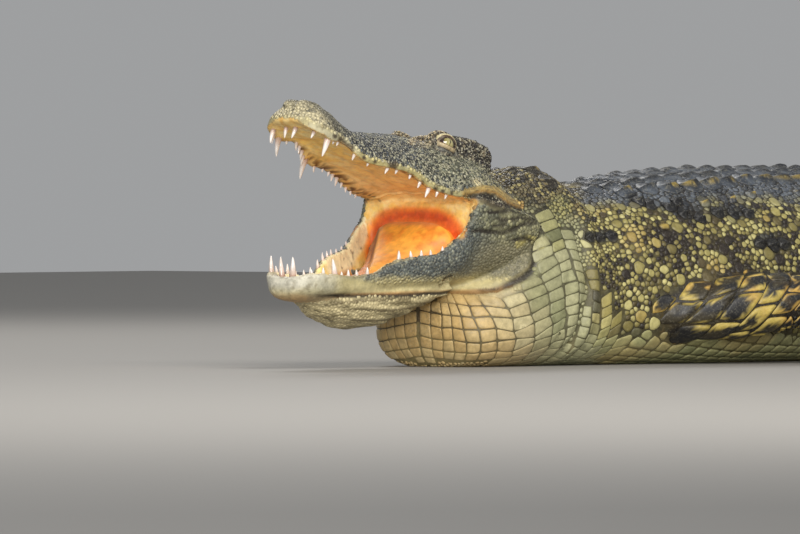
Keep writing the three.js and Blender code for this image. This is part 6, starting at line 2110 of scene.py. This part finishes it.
# ------------------------------------------------------------------- teeth
def horn(base, d, ln, r, bend, sides=20, steps=14, flat=0.85, ridge=0.0):
    """A curved, pointed cone; its root is sunk below its base."""
    a = unit(np.cross(d, bend)) if np.linalg.norm(np.cross(d, bend)) > 1e-6 else unit(np.cross(d, [1.0, 0.2, 0]))
    b = np.cross(a, d)
    u = np.concatenate([[-0.22, -0.1], np.linspace(0, 0.93, steps), [0.98]])
    rad = r * np.where(u < 0, 1.0, np.sqrt(np.clip(1 - u ** 1.55, 0, 1)) * (1 - 0.30 * u))
    ph = np.linspace(0, 2 * math.pi, sides, endpoint=False)
    cen = base + d * (u * ln)[:, None] + bend * (np.clip(u, 0, 1) ** 1.8 * ln)[:, None]
    rr = rad[:, None] * (1 + ridge * np.cos(ph * 9)[None])
    P = cen[:, None] + a * (rr * np.cos(ph))[..., None] + b * (rr * flat * np.sin(ph))[..., None]
    tip = base + d * ln + bend * ln
    return P, tip, u


tv, tp, tc_ = [], [], []
off = 0
for i, (root, d, ln, up) in enumerate(TEETH):
    q = np.random.default_rng(100 + i)
    inward = unit(np.array([0.35, -np.sign(root[1]), 0.0]))
    bend = inward * (0.10 + 0.05 * q.random())
    d2 = unit(d + q.normal(0, 0.045, 3) - bend * 0.6)
    r = 1.75 + ln * 0.122
    P, tip, u = horn(root - d * 0.5, d2, ln, r, bend, ridge=0.018)
    R, C2 = P.shape[:2]
    Vp = np.vstack([P.reshape(-1, 3), P[0].mean(0)[None], tip[None]])
    k = np.arange(C2)
    c0 = np.stack([np.full(C2, R * C2), (k + 1) % C2, k], -1)
    c1 = np.stack([np.full(C2, R * C2 + 1), k + (R - 1) * C2, (k + 1) % C2 + (R - 1) * C2], -1)
    qd = grid_polys(R, C2)
    if np.dot(np.cross(Vp[qd[0, 1]] - Vp[qd[0, 0]], Vp[qd[0, 3]] - Vp[qd[0, 0]]), Vp[qd[0, 0]] - Vp[R * C2]) < 0:
        qd, c0, c1 = qd[:, ::-1], c0[:, ::-1], c1[:, ::-1]
    uu = np.concatenate([np.repeat(u, C2), [0, 1]])
    cl = mix(np.tile(lin(214, 190, 176), (len(Vp), 1)), lin(238, 230, 224), step(0.15, 0.6, uu))
    cl = mix(cl, lin(150, 104, 78), 0.75 * (1 - step(-0.05, 0.22, uu)))
    cl = mix(cl, lin(176, 158, 138), 0.35 * step(0.5, 0.7, fbm(Vp * [1, 1, 0.4], 3, 5, 2)))
    tv.append(Vp)
    tp += [qd + off, c0 + off, c1 + off]
    tc_.append(cl)
    off += len(Vp)
attr_mesh("teeth", np.vstack(tv), tp, np.vstack(tc_), MAT["tooth"])

# --------------------------------------- upright scutes along the tail's ridge
def blade(t, a, height, length, thick, foot=9.0):
    """One upright scute: a thin keel that sweeps back to a blunt point."""
    w, top, mid, p = [float(B[c](t)) for c in (1, 2, 4, 5)]
    z0 = mid + (top - mid) * (1 - min(0.98, abs(a) / w) ** p) ** (1 / p)
    U = np.linspace(0, 1, 9)
    ph = np.linspace(0, 2 * math.pi, 18, endpoint=False)
    rings = []
    for u in U:
        lo, hi = -0.48 + 0.52 * u ** 0.9, 0.48 + 0.01 * u
        c, half = (lo + hi) / 2 * length, (hi - lo) / 2 * length * math.sqrt(max(0.03, 1 - (max(0, u - 0.72) / 0.29) ** 2))
        th_ = thick / 2 * (1 - 0.72 * u) * (1.0 if u < 0.75 else math.sqrt(max(0.05, 1 - ((u - 0.75) / 0.27) ** 2)))
        zz = z0 - foot + (foot + height * (0.98 - 0.10 * (1 - u))) * u
        rings.append(on_spine(t + c + half * np.cos(ph), a + th_ * spow(np.sin(ph), 0.8), zz - 0.10 * height * u * np.maximum(0, np.cos(ph)) ** 2))
    return np.array(rings)


cv, cp_, cc_ = [], [], []
off = 0
rows_ = []
t = 2200.0
while t < 3030:
    f = (t - 2200) / 830
    dt_ = 41 * (1.0 if t < 2300 else 1 - 0.00045 * (t - 2300))
    rows_.append((t, 0.0, 25 + 12 * min(1.0, (t - 2200) / 130) - 22 * f * f, 1.17 * dt_, 9 - 4 * f))
    t += dt_
for t in np.arange(1466.0, 2192.0, 33.0):
    hh_ = float(pair_crest(t))
    if hh_ > 3:
        for sg in (-1, 1):
            rows_.append((t, sg * float(B[1](t)) * 0.44, hh_ + 1.0, 37.5, 6.5))
for i, row_ in enumerate(rows_):
    P = blade(*row_)
    R, C2 = P.shape[:2]
    Vp = np.vstack([P.reshape(-1, 3), P[0].mean(0)[None], P[-1].mean(0)[None]])
    k = np.arange(C2)
    c0 = np.stack([np.full(C2, R * C2), (k + 1) % C2, k], -1)
    c1 = np.stack([np.full(C2, R * C2 + 1), k + (R - 1) * C2, (k + 1) % C2 + (R - 1) * C2], -1)
    qd = grid_polys(R, C2)
    if np.dot(np.cross(Vp[qd[0, 1]] - Vp[qd[0, 0]], Vp[qd[0, 3]] - Vp[qd[0, 0]]), Vp[qd[0, 0]] - Vp[R * C2]) < 0:
        qd, c0, c1 = qd[:, ::-1], c0[:, ::-1], c1[:, ::-1]
    up_ = np.concatenate([np.repeat(np.linspace(0, 1, R), C2), [0, 1]])
    cl = mix(np.tile(lin(98, 94, 64), (len(Vp), 1)), lin(40, 40, 38), step(0.25, 0.8, up_ + 0.5 * (fbm(Vp, 14, 33, 2) - 0.5)))
    cl = mix(cl, lin(132, 124, 84), 0.5 * step(0.62, 0.75, fbm(Vp, 10, 35, 2)))
    cv.append(Vp)
    cp_ += [qd + off, c0 + off, c1 + off]
    cc_.append(cl)
    off += len(Vp)
attr_mesh("scutes_crest", np.vstack(cv), cp_, np.vstack(cc_), MAT["scale"], 0.25)

# ------------------------------------------------------------------- claws
for name, leg in LEGS.items():
    k_ = 0
    for tip, aim, hw, clawed, ln in leg["toes"]:
        if not clawed:
            continue
        k_ += 1
        cl_len = 11 + hw * 1.2
        P, end, u = horn(tip - aim * 1.0 + [0, 0, 0.2], unit(aim + [0, 0, 0.10]), cl_len - 0.5, 4.5, np.array([0, 0, -0.36]), sides=16, steps=12, flat=0.85)
        R, C2 = P.shape[:2]
        Vp = np.vstack([P.reshape(-1, 3), P[0].mean(0)[None], end[None]])
        Vp[:, 2] = np.maximum(Vp[:, 2], 0.25)
        k = np.arange(C2)
        c0 = np.stack([np.full(C2, R * C2), (k + 1) % C2, k], -1)
        c1 = np.stack([np.full(C2, R * C2 + 1), k + (R - 1) * C2, (k + 1) % C2 + (R - 1) * C2], -1)
        qd = grid_polys(R, C2)
        if np.dot(np.cross(Vp[qd[0, 1]] - Vp[qd[0, 0]], Vp[qd[0, 3]] - Vp[qd[0, 0]]), Vp[qd[0, 0]] - Vp[R * C2]) < 0:
            qd, c0, c1 = qd[:, ::-1], c0[:, ::-1], c1[:, ::-1]
        uu = np.concatenate([np.repeat(u, C2), [0, 1]])
        cl = mix(np.tile(lin(46, 40, 34), (len(Vp), 1)), lin(96, 86, 70), step(0.6, 1.0, uu))
        cl = mix(cl, lin(104, 92, 66), 0.5 * (1 - step(0, 0.2, uu)))
        limb, side_ = name.split("_")
        ob = attr_mesh(f"claw_{limb}_{side_}_{k_}_horn", Vp, [qd, c0, c1], cl, MAT["claw"])
        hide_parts(f"claw_{limb}_{side_}_{k_}")
say("teeth and claws")


# ------------------------------------------------------------ stage and end
def stage_and_light():
    me = raw_mesh("floor", np.array([[-9000, -9000, 0], [9000, -9000, 0], [9000, 9000, 0], [-9000, 9000, 0]]) / 1000.0,
                  [np.array([[0, 1, 2, 3]])])
    fl = bpy.data.objects.new("floor", me)
    bpy.context.scene.collection.objects.link(fl)
    m = bpy.data.materials.new("floor")
    m.use_nodes = True
    b = m.node_tree.nodes["Principled BSDF"]
    b.inputs["Base Color"].default_value = (0.30, 0.288, 0.27, 1)
    b.inputs["Roughness"].default_value = 0.7
    me.materials.append(m)
    w = bpy.data.worlds.new("studio")
    w.use_nodes = True
    w.node_tree.nodes["Background"].inputs[0].default_value = (0.66, 0.67, 0.68, 1)
    w.node_tree.nodes["Background"].inputs[1].default_value = 0.52
    bpy.context.scene.world = w

    def area(name, loc, aim, size, power, col=(1, 1, 1)):
        d = bpy.data.lights.new(name, "AREA")
        d.shape = "RECTANGLE"
        d.size, d.size_y = size
        d.energy = power
        d.color = col
        o = bpy.data.objects.new(name, d)
        o.location = loc
        o.rotation_euler = (Vector(aim) - Vector(loc)).to_track_quat("-Z", "Y").to_euler()
        bpy.context.scene.collection.objects.link(o)
    # soft key from high behind the camera's left shoulder, a fill, and a rim
    area("key", (-2.6, -3.6, 3.4), (-0.4, 0, 0.15), (2.2, 2.2), 190, (1.0, 0.96, 0.90))
    area("fill", (-16.5, -13.6, 3.2), (-0.75, 0, 0.3), (8, 4), 2300, (1.0, 0.98, 0.95))
    area("rim", (1.5, 3.0, 3.2), (-0.1, 0, 0.2), (2.5, 1.5), 80, (1.0, 0.98, 0.95))


stage_and_light()
bpy.context.scene.view_settings.view_transform = "Standard"
bpy.context.scene.view_settings.look = "None"
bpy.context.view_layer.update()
say("done")
